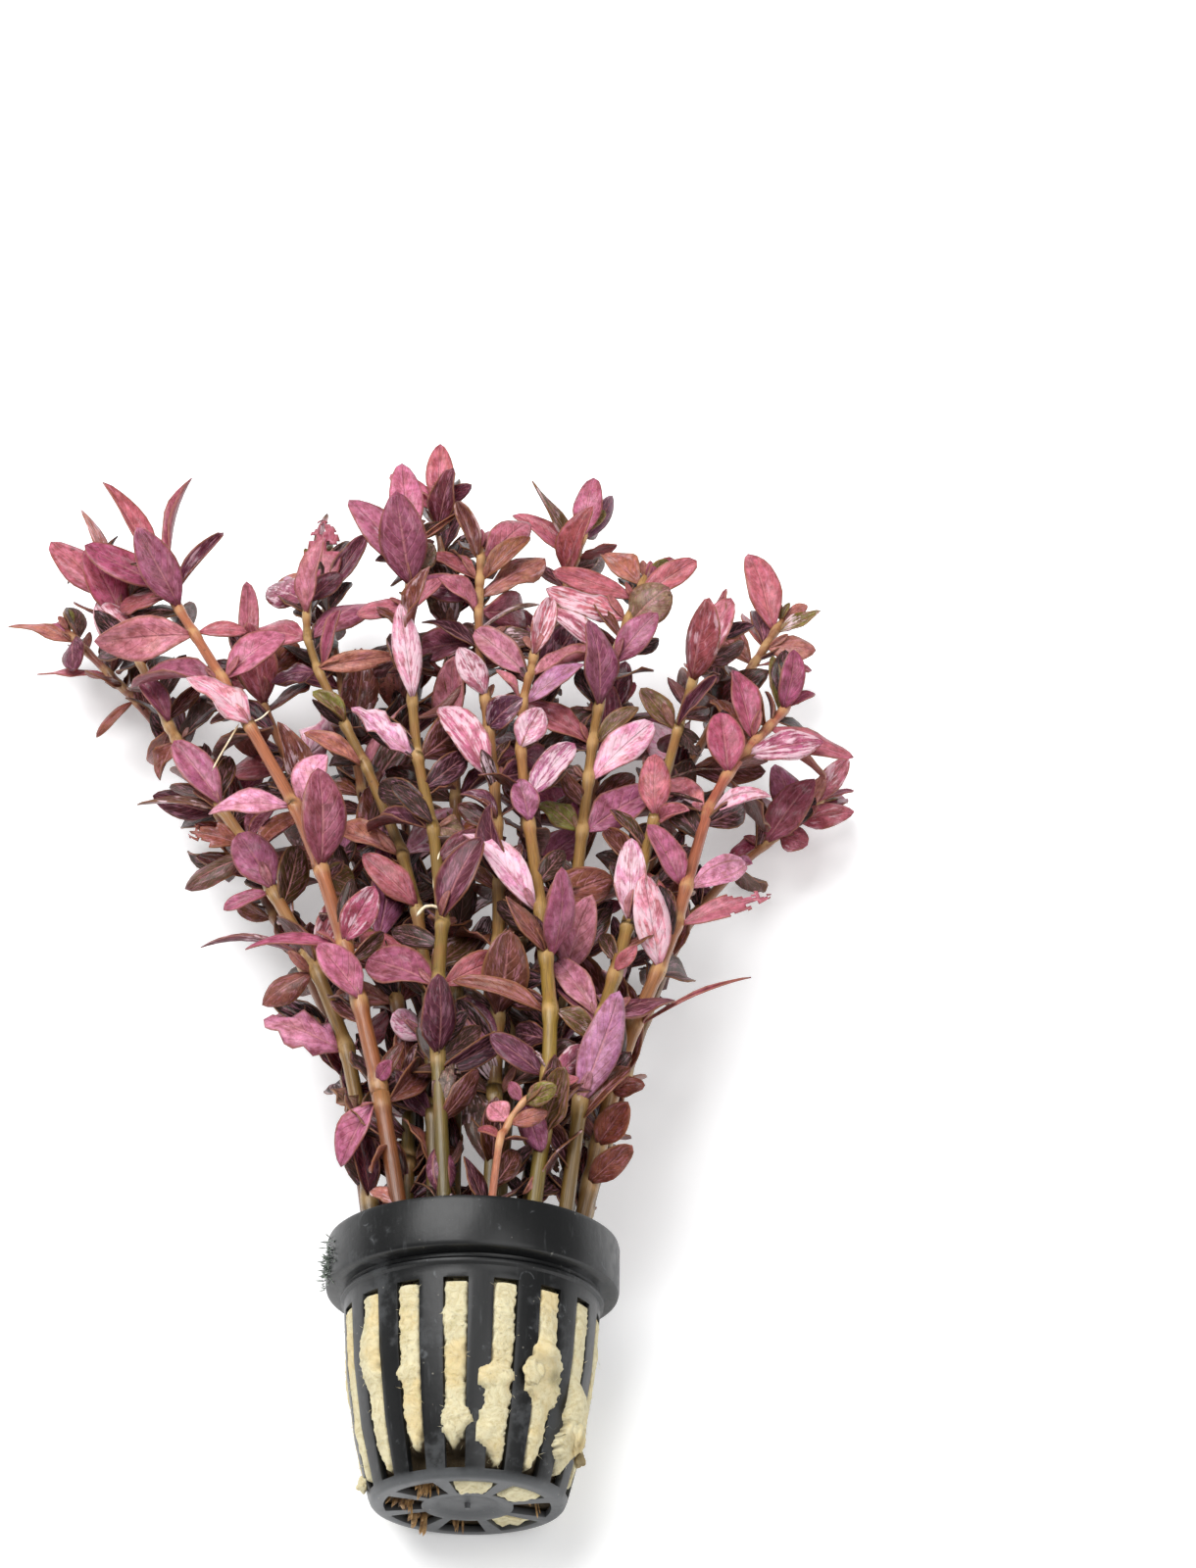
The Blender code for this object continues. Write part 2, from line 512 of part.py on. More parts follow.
class Stem:
    """A shoot's centre line, with a frame and a radius at each distance along it."""

    def __init__(self, name, shoot):
        self.name = name
        self.shoot = shoot
        across, over = shoot.root
        foot = in_pot(across, over, WOOL_TOP - SOCKET_DEPTH)
        lip = in_pot(across, over, WOOL_TOP + STEM_LIP)
        self.points = [foot] + smooth_way([lip] + [Vector(p) for p in shoot.way])
        self.marks = [0.0]
        for a, b in zip(self.points, self.points[1:]):
            self.marks.append(self.marks[-1] + (b - a).length)
        self.length = self.marks[-1]
        self.nodes = self.find_nodes()

    def at(self, along):
        """The point and the direction at a distance along the stem."""
        for number in range(1, len(self.marks)):
            if along <= self.marks[number] or number == len(self.marks) - 1:
                a, b = self.points[number - 1], self.points[number]
                share = (along - self.marks[number - 1]) / (b - a).length
                return a.lerp(b, share), (b - a).normalized()

    def radius(self, along):
        share = along / self.length
        return self.shoot.thick / 2 * (1 - (1 - STEM_TAPER) * share ** TAPER_POWER)

    def ring(self, along, grow=0.0):
        """The four corners of the stem at a distance, sides facing across and over."""
        centre, ahead = self.at(along)
        side = ahead.cross(Vector((0, 0, 1))).normalized()
        over = side.cross(ahead)
        reach = self.radius(along) * RING_CORNER + grow
        turns = [math.radians(45 + 90 * n) for n in range(4)]
        return [centre + (side * math.cos(t) + over * math.sin(t)) * reach for t in turns]

    def nearest(self, pixel):
        """The distance along the stem that shows nearest to a pixel."""
        def miss(number):
            across, up = pixel_of(self.points[number])
            return math.hypot(across - pixel[0], up - pixel[1])
        found = self.marks[min(range(1, len(self.points)), key=miss)]
        return min(max(found, FIRST_NODE), self.length - TIP_NODES[0])

    def find_nodes(self):
        """Distances of the leaf nodes: those seen, then the regular ones between them."""
        seen = []
        for found in sorted(self.nearest(leaf.node) for leaf in self.shoot.shown):
            if not seen or found - seen[-1] > SAME_NODE:
                seen.append(found)
        back = list(TIP_NODES)
        while back[-1] + NODE_STEP < self.length - SOCKET_DEPTH - self.shoot.bare:
            back.append(back[-1] + NODE_STEP)
        nodes = list(seen)
        for place in (self.length - b for b in back if b < self.length - FIRST_NODE):
            room = NODE_ROOM if self.length - place > CROWN else SAME_NODE
            if all(abs(place - other) > room for other in nodes):
                nodes.append(place)
        return sorted(nodes)

    def levels(self):
        """Distances of every ring: the root, the socket's lip and each node's two ends."""
        rings = [0.0, SOCKET_DEPTH + STEM_LIP]
        for node in self.nodes:
            for edge in (node - NODE_HALF, node + NODE_HALF):
                if edge - rings[-1] > RING_ROOM:
                    rings.append(edge)
        return rings


Leaf = namedtuple("Leaf", "node side base middle tip")


def grow_leaf(base, ahead, length, width, roll):
    """The four corners of a leaf's broadest section, and its tip."""
    up = Vector((0, 0, 1)) - ahead * ahead.z
    if up.length < TINY:
        up = Vector((0, -1, 0))
    normal = Matrix.Rotation(roll, 3, ahead) @ up.normalized()
    across = ahead.cross(normal)
    rise = normal * LEAF_BOW * length
    centre = base + ahead * length * LEAF_BROAD + rise
    middle = [centre + across * width / 2, centre + normal * LEAF_THICK,
              centre - across * width / 2, centre - normal * LEAF_THICK]
    tip = base + ahead * length - rise * TIP_DROOP
    lift = max(0.0, -min(p.z for p in middle))
    middle = [p + Vector((0, 0, lift)) for p in middle]
    tip.z = max(tip.z, 0.0)
    return middle, tip


def leaf_shell(base, middle, tip, start=0.0, grow=0.0):
    """A leaf's shape from a share of its length, a little larger all round if asked."""
    centre = sum(middle, Vector()) / 4
    outwards = [(p - centre).normalized() for p in middle]
    waist = ROOT_REACH * (1 - start) ** ROOT_FADE + grow
    root = [base.lerp(p, start) + out * waist for p, out in zip(middle, outwards)]
    grown = [p + out * grow for p, out in zip(middle, outwards)]
    end = tip + (tip - centre).normalized() * grow
    faces = [(0, 1, 5, 4), (1, 2, 6, 5), (2, 3, 7, 6), (3, 0, 4, 7),
             (4, 5, 8), (5, 6, 8), (6, 7, 8), (7, 4, 8), (3, 2, 1, 0)]
    return root + grown + [end], faces


def shell_tree(points, faces):
    return BVHTree.FromPolygons([tuple(p) for p in points], faces), box_of(points)


def box_of(points):
    low = [min(p[n] for p in points) for n in range(3)]
    high = [max(p[n] for p in points) for n in range(3)]
    return low, high


def boxes_meet(first, second):
    return all(first[0][n] <= second[1][n] and second[0][n] <= first[1][n] for n in range(3))


def stem_tree(stem):
    """The stem's tube as a search tree."""
    rings = [stem.ring(along) for along in stem.levels()]
    points = [p for ring in rings for p in ring]
    faces = []
    for number in range(len(rings) - 1):
        for side in range(4):
            a, b = 4 * number + side, 4 * number + (side + 1) % 4
            faces.append((a, b, b + 4, a + 4))
    return shell_tree(points, faces)


def pot_tree():
    """The pot and its wool as one plain turned form."""
    outline = [(0.0, 0.0)] + [(s, r + RIB_PROUD + RIB_RAGGED) for s, r in BODY]
    outline += [(COLLAR_START, COLLAR_RADIUS), (RIM + GAP, COLLAR_RADIUS)]
    outline += [(RIM + GAP, COLLAR_RADIUS - WALL - GAP), (WOOL_TOP + GAP, COLLAR_RADIUS - WALL - GAP)]
    outline += [(WOOL_TOP + GAP, 0.0)]
    points, faces = [], []
    for s, r in outline:
        for number in range(POT_STEPS):
            angle = 2 * math.pi * number / POT_STEPS
            points.append(in_pot(r * math.cos(angle), r * math.sin(angle), s))
    for row in range(len(outline) - 1):
        for number in range(POT_STEPS):
            a = row * POT_STEPS + number
            b = row * POT_STEPS + (number + 1) % POT_STEPS
            faces.append((a, b, b + POT_STEPS, a + POT_STEPS))
    return shell_tree(points, faces)


class Thicket:
    """Everything placed so far, so that a new leaf finds free room."""

    def __init__(self, stems):
        self.placed = [("net_pot", *pot_tree())]
        self.placed += [(stem.name, *stem_tree(stem)) for stem in stems]

    def free(self, own, base, middle, tip):
        """Whether a leaf clears all others, and its own shoot beyond its base."""
        whole = shell_tree(*leaf_shell(base, middle, tip, 0.0, GAP))
        blade = shell_tree(*leaf_shell(base, middle, tip, BLADE_START, GAP))
        for name, tree, box in self.placed:
            shell, bounds = blade if name == own else whole
            if boxes_meet(bounds, box) and shell.overlap(tree):
                return False
        return True

    def add(self, own, base, middle, tip):
        self.placed.append((own, *shell_tree(*leaf_shell(base, middle, tip))))


def leaf_habit(from_tip):
    """Length share and angle from the stem, by distance from the tip."""
    young = min(1.0, from_tip / YOUNG_RUN)
    old = min(1.0, from_tip / OLD_RUN)
    length = YOUNG_LENGTH + LENGTH_GAIN * young - LENGTH_LOSS * old
    pitch = YOUNG_PITCH + PITCH_GAIN * young ** PITCH_POWER - PITCH_LOSS * old
    return length, math.radians(pitch)


def node_side(stem, node, side):
    """The centre of a node's face and the direction that it looks in."""
    centre, ahead = stem.at(node)
    across = ahead.cross(Vector((0, 0, 1))).normalized()
    over = across.cross(ahead)
    # side 0 looks up, then counting towards the left, down and the right
    out = [over, -across, -over, across][side]
    return centre + out * stem.radius(node) * ROOT_INSET, out, ahead


def place_shown(stem, thicket, leaves):
    """Leaves set by hand, each on the face that looks most towards its tip."""
    for shown in stem.shoot.shown:
        node = min(stem.nodes, key=lambda n: abs(stem.nearest(shown.node) - n))
        joint = stem.at(node)[0]
        climb = (pixel_of(joint)[1] - shown.tip[1]) * SHOWN_CLIMB
        for attempt in range(MAX_TRIES):
            shift = SHOWN_SHIFT * (attempt + 1) // 2 * (-1) ** attempt
            target = seen_at(shown.tip, max(TIP_LOWEST, joint.z + climb - shift))
            sides = [s for s in range(4) if (node, s) not in leaves]
            if not sides:
                break
            side = max(sides, key=lambda s: node_side(stem, node, s)[1].dot(target - joint))
            base = node_side(stem, node, side)[0]
            reach = target - base
            roll = math.radians(shown.roll + attempt * SHOWN_TURN)
            middle, tip = grow_leaf(base, reach.normalized(), reach.length, shown.width, roll)
            if thicket.free(stem.name, base, middle, tip):
                leaves[(node, side)] = Leaf(node, side, base, middle, tip)
                thicket.add(stem.name, base, middle, tip)
                break


def place_pairs(stem, thicket, leaves):
    """Opposite pairs, each a quarter turn from the last, where there is room."""
    rng = random.Random(stem.shoot.seed)
    for number, node in enumerate(reversed(stem.nodes)):
        taken = [s for (n, s) in leaves if n == node]
        first = taken[0] if taken else (number + stem.shoot.seed) % 2
        for side in (first, (first + 2) % 4):
            draws = [[rng.gauss(0, 1) for _ in range(5)] for _ in range(MAX_TRIES)]
            if (node, side) in leaves:
                continue
            for attempt, draw in enumerate(draws):
                leaf = try_leaf(stem, node, side, draw, attempt)
                if in_outline(pixel_of(leaf.tip)) and thicket.free(stem.name, *leaf[2:]):
                    leaves[(node, side)] = leaf
                    thicket.add(stem.name, *leaf[2:])
                    break


def try_leaf(stem, node, side, draw, attempt):
    """One leaf at a node's face, looser and smaller with each attempt."""
    base, out, ahead = node_side(stem, node, side)
    share, pitch = leaf_habit(stem.length - node)
    loose = 1 + attempt * LOOSEN
    pitch = max(PITCH_LEAST, pitch + draw[0] * PITCH_SPREAD * loose)
    swing = draw[1] * SWING_SPREAD * loose
    length = stem.shoot.leaf * share * (1 + draw[2] * LENGTH_SPREAD) * (1 - SHRINK * attempt)
    across = Matrix.Rotation(swing, 3, ahead) @ out
    grow = ahead * math.cos(pitch) + across * math.sin(pitch)
    grow.z -= LEAF_SAG
    roll = draw[3] * ROLL_SPREAD * loose
    width = length * LEAF_SLIM * (1 + draw[4] * WIDTH_SPREAD)
    middle, tip = grow_leaf(base, grow.normalized(), length, width, roll)
    return Leaf(node, side, base, middle, tip)


def make_shoot(stem, leaves, parts, holder, finish):
    """The stem as a four-sided tube, and each leaf pulled out of one of its faces."""
    bm = bmesh.new()
    levels = stem.levels()
    face = start_tube(bm, stem.ring(levels[0]))
    set_corners(face, stem.ring(levels[1]))
    growing = {}
    for along in levels[2:]:
        face, around = extrude_cap(bm, face)
        set_corners(face, stem.ring(along))
        growing[along] = around
    end, ahead = stem.at(stem.length)
    poke_to(bm, face, end + ahead * BUD)
    for (node, side), leaf in leaves.items():
        out = node_side(stem, node, side)[1]
        top = min(levels, key=lambda a: abs(a - node - NODE_HALF))
        choices = [f for f in growing[top] if f.is_valid]
        centre = stem.at(node)[0]
        own = max(choices, key=lambda f: (f.calc_center_median() - centre).dot(out))
        blade = bmesh.ops.extrude_discrete_faces(bm, faces=[own])["faces"][0]
        match_corners(blade, leaf.middle)
        poke_to(bm, blade, leaf.tip)
    face_outwards(bm)
    return object_from(bm, stem.name, parts, holder, finish)


def set_corners(face, places):
    for vert, place in zip(face.verts, places):
        vert.co = place


def match_corners(face, places):
    """Move a face's corners to the nearest turn of the given places."""
    verts = list(face.verts)
    orders = [[places[(sign * n + turn) % 4] for n in range(4)]
              for turn in range(4) for sign in (1, -1)]
    best = min(orders, key=lambda order: sum((v.co - p).length_squared
                                             for v, p in zip(verts, order)))
    for vert, place in zip(verts, best):
        vert.co = place


def poke_to(bm, face, place):
    """Close a face to a point."""
    made = bmesh.ops.poke(bm, faces=[face])["verts"][0]
    made.co = place


def socket_holes(stems, cutters, holder):
    """A hole in the wool for each stem, a little wider than the stem."""
    bm = bmesh.new()
    for stem in stems:
        corners = stem.ring(0.0, GAP * math.sqrt(2))
        face = start_tube(bm, [p - POT_AXIS * GAP for p in corners])
        set_corners(face, [p + POT_AXIS * (SOCKET_DEPTH + SOCKET_OVER) for p in corners])
    face_outwards(bm)
    return object_from(bm, "socket_cutter", cutters, holder)


def centre_on_floor(parts, holder):
    """Shift everything so that the origin is under the middle of the plant's box."""
    bpy.context.view_layer.update()
    depsgraph = bpy.context.evaluated_depsgraph_get()
    places = []
    for piece in parts.objects:
        solid = piece.evaluated_get(depsgraph)
        places += [solid.matrix_world @ v.co for v in solid.data.vertices]
    low, high = box_of(places)
    holder.location = (-(low[0] + high[0]) / 2, -(low[1] + high[1]) / 2, -low[2])


def main():
    for old in list(bpy.data.objects):
        bpy.data.objects.remove(old, do_unlink=True)
    parts = fresh_collection("rotala")
    cutters = fresh_collection("cutters")
    holder = bpy.data.objects.new("plant_place", None)
    pot_holder = bpy.data.objects.new("pot_place", None)
    for empty in (holder, pot_holder):
        cutters.objects.link(empty)
    pot_holder.parent = holder
    tilt = POT_PLACE.to_3x3().to_4x4()
    pot_holder.matrix_local = Matrix.Translation(POT_PLACE.translation * MM) @ tilt

    stems = [Stem(name, shoot) for name, shoot in SHOOTS.items()]
    thicket = Thicket(stems)
    crowns = {stem.name: {} for stem in stems}
    for stem in stems:
        place_shown(stem, thicket, crowns[stem.name])
    for stem in stems:
        place_pairs(stem, thicket, crowns[stem.name])

    make_pot(parts, pot_holder)
    make_wool(parts, pot_holder, socket_holes(stems, cutters, holder))
    for number, stem in enumerate(stems):
        colour = LEAF_COLOURS[number % len(LEAF_COLOURS)]
        finish = material(stem.name + "_leaf", colour, 0.35)
        make_shoot(stem, crowns[stem.name], parts, holder, finish)
    centre_on_floor(parts, holder)


main()
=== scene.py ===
"""Rotala in its net pot, lying on its side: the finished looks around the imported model.

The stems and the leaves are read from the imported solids, and each one is made again in full
detail at the same place. Sizes below are in millimetres unless they say otherwise.
"""
import json
import math
import random
from collections import namedtuple

import bmesh
import bpy
from mathutils import Matrix, Vector, noise
from mathutils.bvhtree import BVHTree


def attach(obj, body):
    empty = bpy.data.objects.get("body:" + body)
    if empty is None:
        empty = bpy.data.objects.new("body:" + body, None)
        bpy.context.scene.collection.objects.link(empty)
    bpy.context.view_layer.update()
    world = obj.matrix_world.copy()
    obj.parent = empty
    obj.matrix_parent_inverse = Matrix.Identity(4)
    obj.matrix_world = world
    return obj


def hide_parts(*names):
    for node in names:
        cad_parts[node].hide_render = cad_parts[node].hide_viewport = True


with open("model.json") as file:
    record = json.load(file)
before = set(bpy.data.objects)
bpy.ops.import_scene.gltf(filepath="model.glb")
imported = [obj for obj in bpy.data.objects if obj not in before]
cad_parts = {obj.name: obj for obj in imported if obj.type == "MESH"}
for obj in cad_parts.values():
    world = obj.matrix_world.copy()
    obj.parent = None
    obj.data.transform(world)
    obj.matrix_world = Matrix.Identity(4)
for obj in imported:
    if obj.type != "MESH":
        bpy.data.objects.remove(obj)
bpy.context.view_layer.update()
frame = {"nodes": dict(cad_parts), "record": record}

bl_info = {
    "name": "Rotala in a net pot",
    "version": (1, 0, 0),
    "blender": (4, 5, 0),
    "location": "3D View > Sidebar > Rotala",
    "description": "Dresses the packed plant with leaves, stems, a slotted pot and rock wool",
    "category": "Object",
}

MM = 0.001
MERGE = 0.000002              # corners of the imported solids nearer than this, in metres, are one

# The reference view: pixels of a 1220 by 1600 picture
VIEW_SIZE = (1220, 1600)
VIEW_FOCUS = 5454
VIEW_ELEVATION = math.radians(50.5)
VIEW_DISTANCE = 896.0
VIEW_TARGET = Vector((28.83, 52.43, 0.0))
SENSOR = 36.0
VIEW_AHEAD = Vector((0, math.cos(VIEW_ELEVATION), -math.sin(VIEW_ELEVATION)))
VIEW_UP = Vector((0, math.sin(VIEW_ELEVATION), math.cos(VIEW_ELEVATION)))
VIEW_POINT = VIEW_TARGET - VIEW_AHEAD * VIEW_DISTANCE

# The net pot's frame comes from the mount on its foot
FOOT = next(m for m in frame["record"]["mounts"] if m["name"] == "pot_foot")
POT_AXIS = -Vector(FOOT["axis"]).normalized()
POT_ACROSS = Vector((POT_AXIS.y, -POT_AXIS.x, 0)).normalized()
POT_PLACE = Matrix.Translation(Vector(FOOT["pos_m"]) / MM) @ Matrix(
    (POT_ACROSS, POT_AXIS.cross(POT_ACROSS), POT_AXIS)).transposed().to_4x4()

POT_FOOT_ALONG = Vector(FOOT["pos_m"]).dot(POT_AXIS)
POT_FLATS = 32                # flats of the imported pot, every second one a slot
POT_STEPS = 160
FLAT_ANGLE = 2 * math.pi / POT_FLATS
SPOKE_FLATS = 4               # one flat in four of the foot is a spoke
SPOKE_FLAT = 2
FIRST_OPENING = 4.5           # the middle of the first opening, in flats
WALL = 1.0
SLOT_START = 1.3
SLOT_END = 29.2
FOOT_OPENING = (6.8, 12.4)
WOOL_TOP = 33.0
RIM = 41.0
BODY = [(14.4, 0.0), (14.8, 1.3), (17.0, 10.0), (18.5, 20.0), (19.15, 29.2), (19.3, 32.7)]
FOOT_PROFILE = [(0.0, -0.3), (0.4, -0.25), (0.5, 0.55), (4.4, 0.55), (5.0, 0.2), (5.8, 0.0),
                (6.8, 0.0), (9.6, 0.0), (12.4, 0.0), (13.7, 0.0), (14.15, 0.12), (14.45, 0.45),
                (14.68, 1.0)]
COLLAR_RADIUS = 22.1
COLLAR_PROFILE = [(19.25, 31.1), (19.75, 31.4), (19.8, 31.9), (19.35, 32.3), (19.4, 32.8),
                  (20.3, 33.0), (21.5, 33.05), (21.95, 33.3), (22.1, 33.9), (22.1, 37.0),
                  (22.1, 40.2), (21.95, 40.8), (21.6, 41.0)]

# Leaves
LEAF_ACROSS = 4
LEAF_ALONG = 9
UNDER_ALONG = 7
UNDER_SIZES = (6.5, 12.5)
UNDER_STEP = 2.1              # distance along a stem between the leaves of its undergrowth
TORN_ACROSS = 10
TORN_ALONG = 22
BROAD = 0.5                   # where a leaf is widest, along its length
STALK = 0.13                  # width of its base over its full width
LEAF_LOW = 0.25               # a blade that reaches the surface lies on it
LEAF_FLAT = 1.6               # a leaf's section is wider than this over its thickness
TRUE_CENTRE = 0.05
MARK_REACH = 9.0              # pixels between a leaf's tip and the mark that names it

# Stems
STEM_SIDES = 12
STEM_STEP = 0.8
RING_CORNER = 1.32            # reach of a packed ring's corners over the stem's radius
NODE_SWELL = 0.24
NODE_RUN = 0.95
NODE_RING = 1.7               # reach of the pale ring at a node
ROOT_SHADE = 0.45              # painted shade: a stem's brightness at its root, in the crowded pot's mouth, over its brightness further up
AXIL_SHARE = 0.4              # share of the leaves with a young leaf in their axil
BUD_SIZES = (5.5, 5.0, 3.6, 3.2)


def srgb(red, green, blue):
    """A colour given in 0 to 255 display steps, as the linear values that Blender uses."""
    steps = (value / 255 for value in (red, green, blue))
    return tuple(s / 12.92 if s <= 0.04045 else ((s + 0.055) / 1.055) ** 2.4 for s in steps)


TONES = {
    "rose": srgb(186, 111, 126),
    "pink": srgb(200, 120, 150),
    "magenta": srgb(172, 90, 120),
    "mauve": srgb(168, 102, 134),
    "lilac": srgb(186, 134, 172),
    "pale": srgb(228, 160, 186),
    "salmon": srgb(182, 126, 112),
    "copper": srgb(136, 86, 70),
    "rust": srgb(152, 100, 70),
    "plum": srgb(106, 60, 80),
    "olive": srgb(106, 90, 52),
    "green": srgb(120, 122, 58),
    "umber": srgb(96, 78, 62),
    "dried": srgb(132, 116, 96),
    "ash": srgb(62, 52, 46),
}

# Tips of single leaves in the reference view, by tone
MARKED_TONES = {
    "rose": [(104, 492), (187, 484), (252, 643), (52, 551), (97, 613), (38, 689), (254, 588),
             (363, 624), (541, 528), (452, 586), (468, 660), (564, 584), (556, 604), (710, 572),
             (552, 620), (747, 614), (668, 770), (702, 826), (650, 965), (870, 775), (787, 914),
             (765, 992), (870, 825), (824, 862), (767, 558), (524, 522), (449, 452), (329, 524)],
    "pink": [(288, 642), (325, 962), (346, 1190), (358, 505), (411, 470), (450, 712), (398, 485)],
    "magenta": [(86, 562), (382, 904), (250, 962), (400, 1082), (813, 664), (749, 681),
                (840, 756), (735, 726), (744, 881)],
    "mauve": [(142, 690), (178, 757), (242, 847), (228, 929), (403, 838), (348, 622),
              (586, 758), (577, 888), (670, 624), (661, 841), (792, 778), (605, 486), (530, 794),
              (552, 1176)],
    "lilac": [(270, 1036), (595, 676), (636, 1010), (292, 588)],
    "pale": [(194, 686), (331, 768), (212, 822), (400, 1034), (408, 617), (357, 724), (552, 722),
             (480, 841), (666, 736), (647, 857), (786, 809), (656, 892), (766, 880), (499, 1127)],
    "salmon": [(87, 518), (9, 636), (402, 669), (310, 748), (842, 792), (832, 662), (282, 598)],
    "copper": [(162, 796), (192, 848), (266, 1022), (87, 684), (98, 752), (428, 978), (468, 513),
               (512, 918), (462, 998), (652, 1104), (641, 1124), (645, 1167)],
    "rust": [(541, 547)],
    "plum": [(228, 542), (207, 953), (74, 684), (349, 586), (276, 692), (529, 712), (474, 806),
             (500, 1057), (730, 690), (629, 503), (481, 494), (374, 545)],
    "olive": [(361, 906), (454, 590), (607, 1057), (652, 722), (654, 704), (538, 494)],
    "green": [(320, 704), (553, 815), (788, 668), (838, 628), (566, 1108)],
    "umber": [(140, 819), (187, 903), (70, 620), (550, 652), (578, 752)],
    "dried": [(336, 1113), (468, 518), (443, 556), (472, 850), (681, 598)],
    "ash": [(401, 800)],
}

# Leaves with painted glare: pale patches that stand in for the shine of their wet surface
PAINTED_GLARE_TIPS = [(450, 712), (408, 617), (357, 724), (666, 736), (552, 722), (556, 604), (552, 620),
          (468, 660), (97, 613), (786, 809), (480, 841), (840, 756), (647, 857), (586, 758),
          (400, 1034), (194, 686), (656, 892)]
TORN = [(329, 524), (787, 914), (192, 848)]
CRUMPLED = [(357, 724), (270, 1036), (336, 1113)]
FOLDED = [(187, 484), (228, 542), (348, 622), (207, 953), (468, 518), (765, 992), (729, 690)]
FLAT = [(681, 598), (86, 562), (735, 726), (288, 642)]

# Outline, in the reference view, of the part of the bunch that is filled with leaves
CROWN = [(62, 566), (104, 515), (182, 520), (215, 548), (192, 600), (232, 612), (210, 645),
         (262, 612), (312, 582), (330, 535), (372, 514), (402, 482), (450, 462), (485, 505),
         (545, 502), (575, 540), (606, 498), (636, 560), (690, 580), (735, 596), (766, 570),
         (796, 610), (828, 632), (826, 690), (862, 765), (862, 806), (840, 846), (786, 862),
         (716, 870), (690, 930), (684, 1000), (652, 1060), (636, 1120), (632, 1170), (596, 1220),
         (376, 1224), (356, 1188), (346, 1100), (278, 1040), (276, 1005), (296, 960),
         (206, 900), (172, 874), (150, 815), (158, 765), (150, 722), (76, 690), (72, 650)]

# Stem colours, from the root to the tip
STEM_TONES = {
    "shoot_front_left": (srgb(162, 98, 54), srgb(196, 120, 84)),
    "shoot_left": (srgb(150, 118, 58), srgb(178, 130, 82)),
    "shoot_low_left": (srgb(140, 96, 56), srgb(150, 76, 60)),
    "shoot_mid_left": (srgb(122, 100, 44), srgb(164, 126, 66)),
    "shoot_centre_left": (srgb(132, 114, 44), srgb(170, 130, 74)),
    "shoot_centre": (srgb(134, 112, 50), srgb(176, 122, 80)),
    "shoot_centre_right": (srgb(160, 138, 48), srgb(176, 122, 74)),
    "shoot_mid_right": (srgb(134, 108, 48), srgb(180, 136, 80)),
    "shoot_right": (srgb(154, 124, 58), srgb(168, 130, 72)),
    "shoot_front_right": (srgb(164, 126, 66), srgb(196, 108, 92)),
    "short_side_shoot": (srgb(216, 132, 110), srgb(214, 150, 110)),
}
STEM_PLAIN = (srgb(124, 104, 44), srgb(158, 100, 66))

SHOOTS = {}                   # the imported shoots, read when the script runs

# Rock wool: the places where it swells past a slot's edges, how far over a slot's foot it ends,
# a stain's middle, run and depth by slot, and how far it comes out of each opening of the foot
WOOL_AROUND = 384
WOOL_ROWS = (20, 84, 12)      # of the foot, the side and the top
WOOL_FOOT = (13.3, 1.45)      # radius and distance where the foot meets the side
WOOL_MOUTH = 17.6             # radius of the top
WOOL_FIBRES = 700
WOOL_LOW = 0.05               # wool that swells out under the pot is pressed flat here
Swell = namedtuple("Swell", "slot along run left right proud")
SWELLS = [
    Swell(12, 7.6, 2.2, 0.8, 1.3, 0.8), Swell(13, 14.6, 1.6, 1.9, 0.3, 0.6),
    Swell(13, 10.0, 4.6, 1.3, 0.0, 0.5), Swell(13, 5.4, 2.0, 2.2, 0.0, 0.8),
    Swell(14, 16.6, 3.6, 1.5, 1.0, 1.2), Swell(14, 12.6, 1.6, 0.7, 0.8, 0.5),
    Swell(15, 11.0, 5.0, 0.4, 1.5, 1.2), Swell(15, 6.0, 2.2, 1.4, 0.3, 0.8),
    Swell(11, 15.4, 1.0, 1.1, 0.0, 0.4), Swell(10, 19.6, 4.6, 1.2, 0.0, 0.7),
    Swell(12, 22.6, 1.6, 0.5, 0.0, 0.3),
]
LOW_ENDS = {9: 2.2, 10: 2.0, 11: 4.2, 12: 4.2, 13: 1.8, 14: 2.0, 15: 2.6}
STAINS = {14: (16.5, 3.4, 0.4), 15: (7.5, 3.0, 0.35), 10: (7.5, 3.0, 0.35)}
FOOT_FILL = [0.2, 1.7, 2.2, 2.2, 2.0, -0.4, -0.3, 2.1]

Tuft = namedtuple("Tuft", "turn radius along size stain")
TUFTS = [
    Tuft(0.925, 18.3, 8.5, (0.8, 1.3, 2.6), 0.35), Tuft(0.945, 17.6, 5.6, (0.7, 1.0, 1.3), 0.5),
    Tuft(0.835, 18.9, 15.5, (0.6, 1.5, 2.2), 0.3), Tuft(0.52, 15.5, 2.6, (0.9, 1.0, 1.2), 0.25),
]
Stub = namedtuple("Stub", "turn reach out thick strands")
ROOT_STUBS = [
    Stub(0.64, 9.8, 0.1, 1.5, 22), Stub(0.515, 9.8, 0.1, 1.5, 24), Stub(0.39, 10.2, 0.5, 1.6, 24),
    Stub(0.27, 9.6, 0.0, 0.8, 7), Stub(0.015, 9.6, -0.2, 0.7, 5),
]
ALGAE_STRANDS = 170
ALGAE_TURN = 0.535
ALGAE_ALONG = 35.6

# Hair roots, as pixels of the reference view that they pass, lifted over a shoot
Thread = namedtuple("Thread", "shoot pixels thick lift fall")
THREADS = [
    Thread("shoot_front_left", [(244, 738), (233, 757), (224, 772), (216, 787)], 0.32, 0.5, -0.8),
    Thread("shoot_front_left", [(276, 724), (266, 733), (254, 738)], 0.3, 1.0, -0.3),
    Thread("shoot_centre_left", [(449, 868), (443, 892), (444, 912), (455, 932)], 0.3, 1.2, 0.0),
    Thread("shoot_centre_left", [(424, 936), (434, 925), (447, 926), (455, 934)], 0.55, 1.0, 0.0),
]
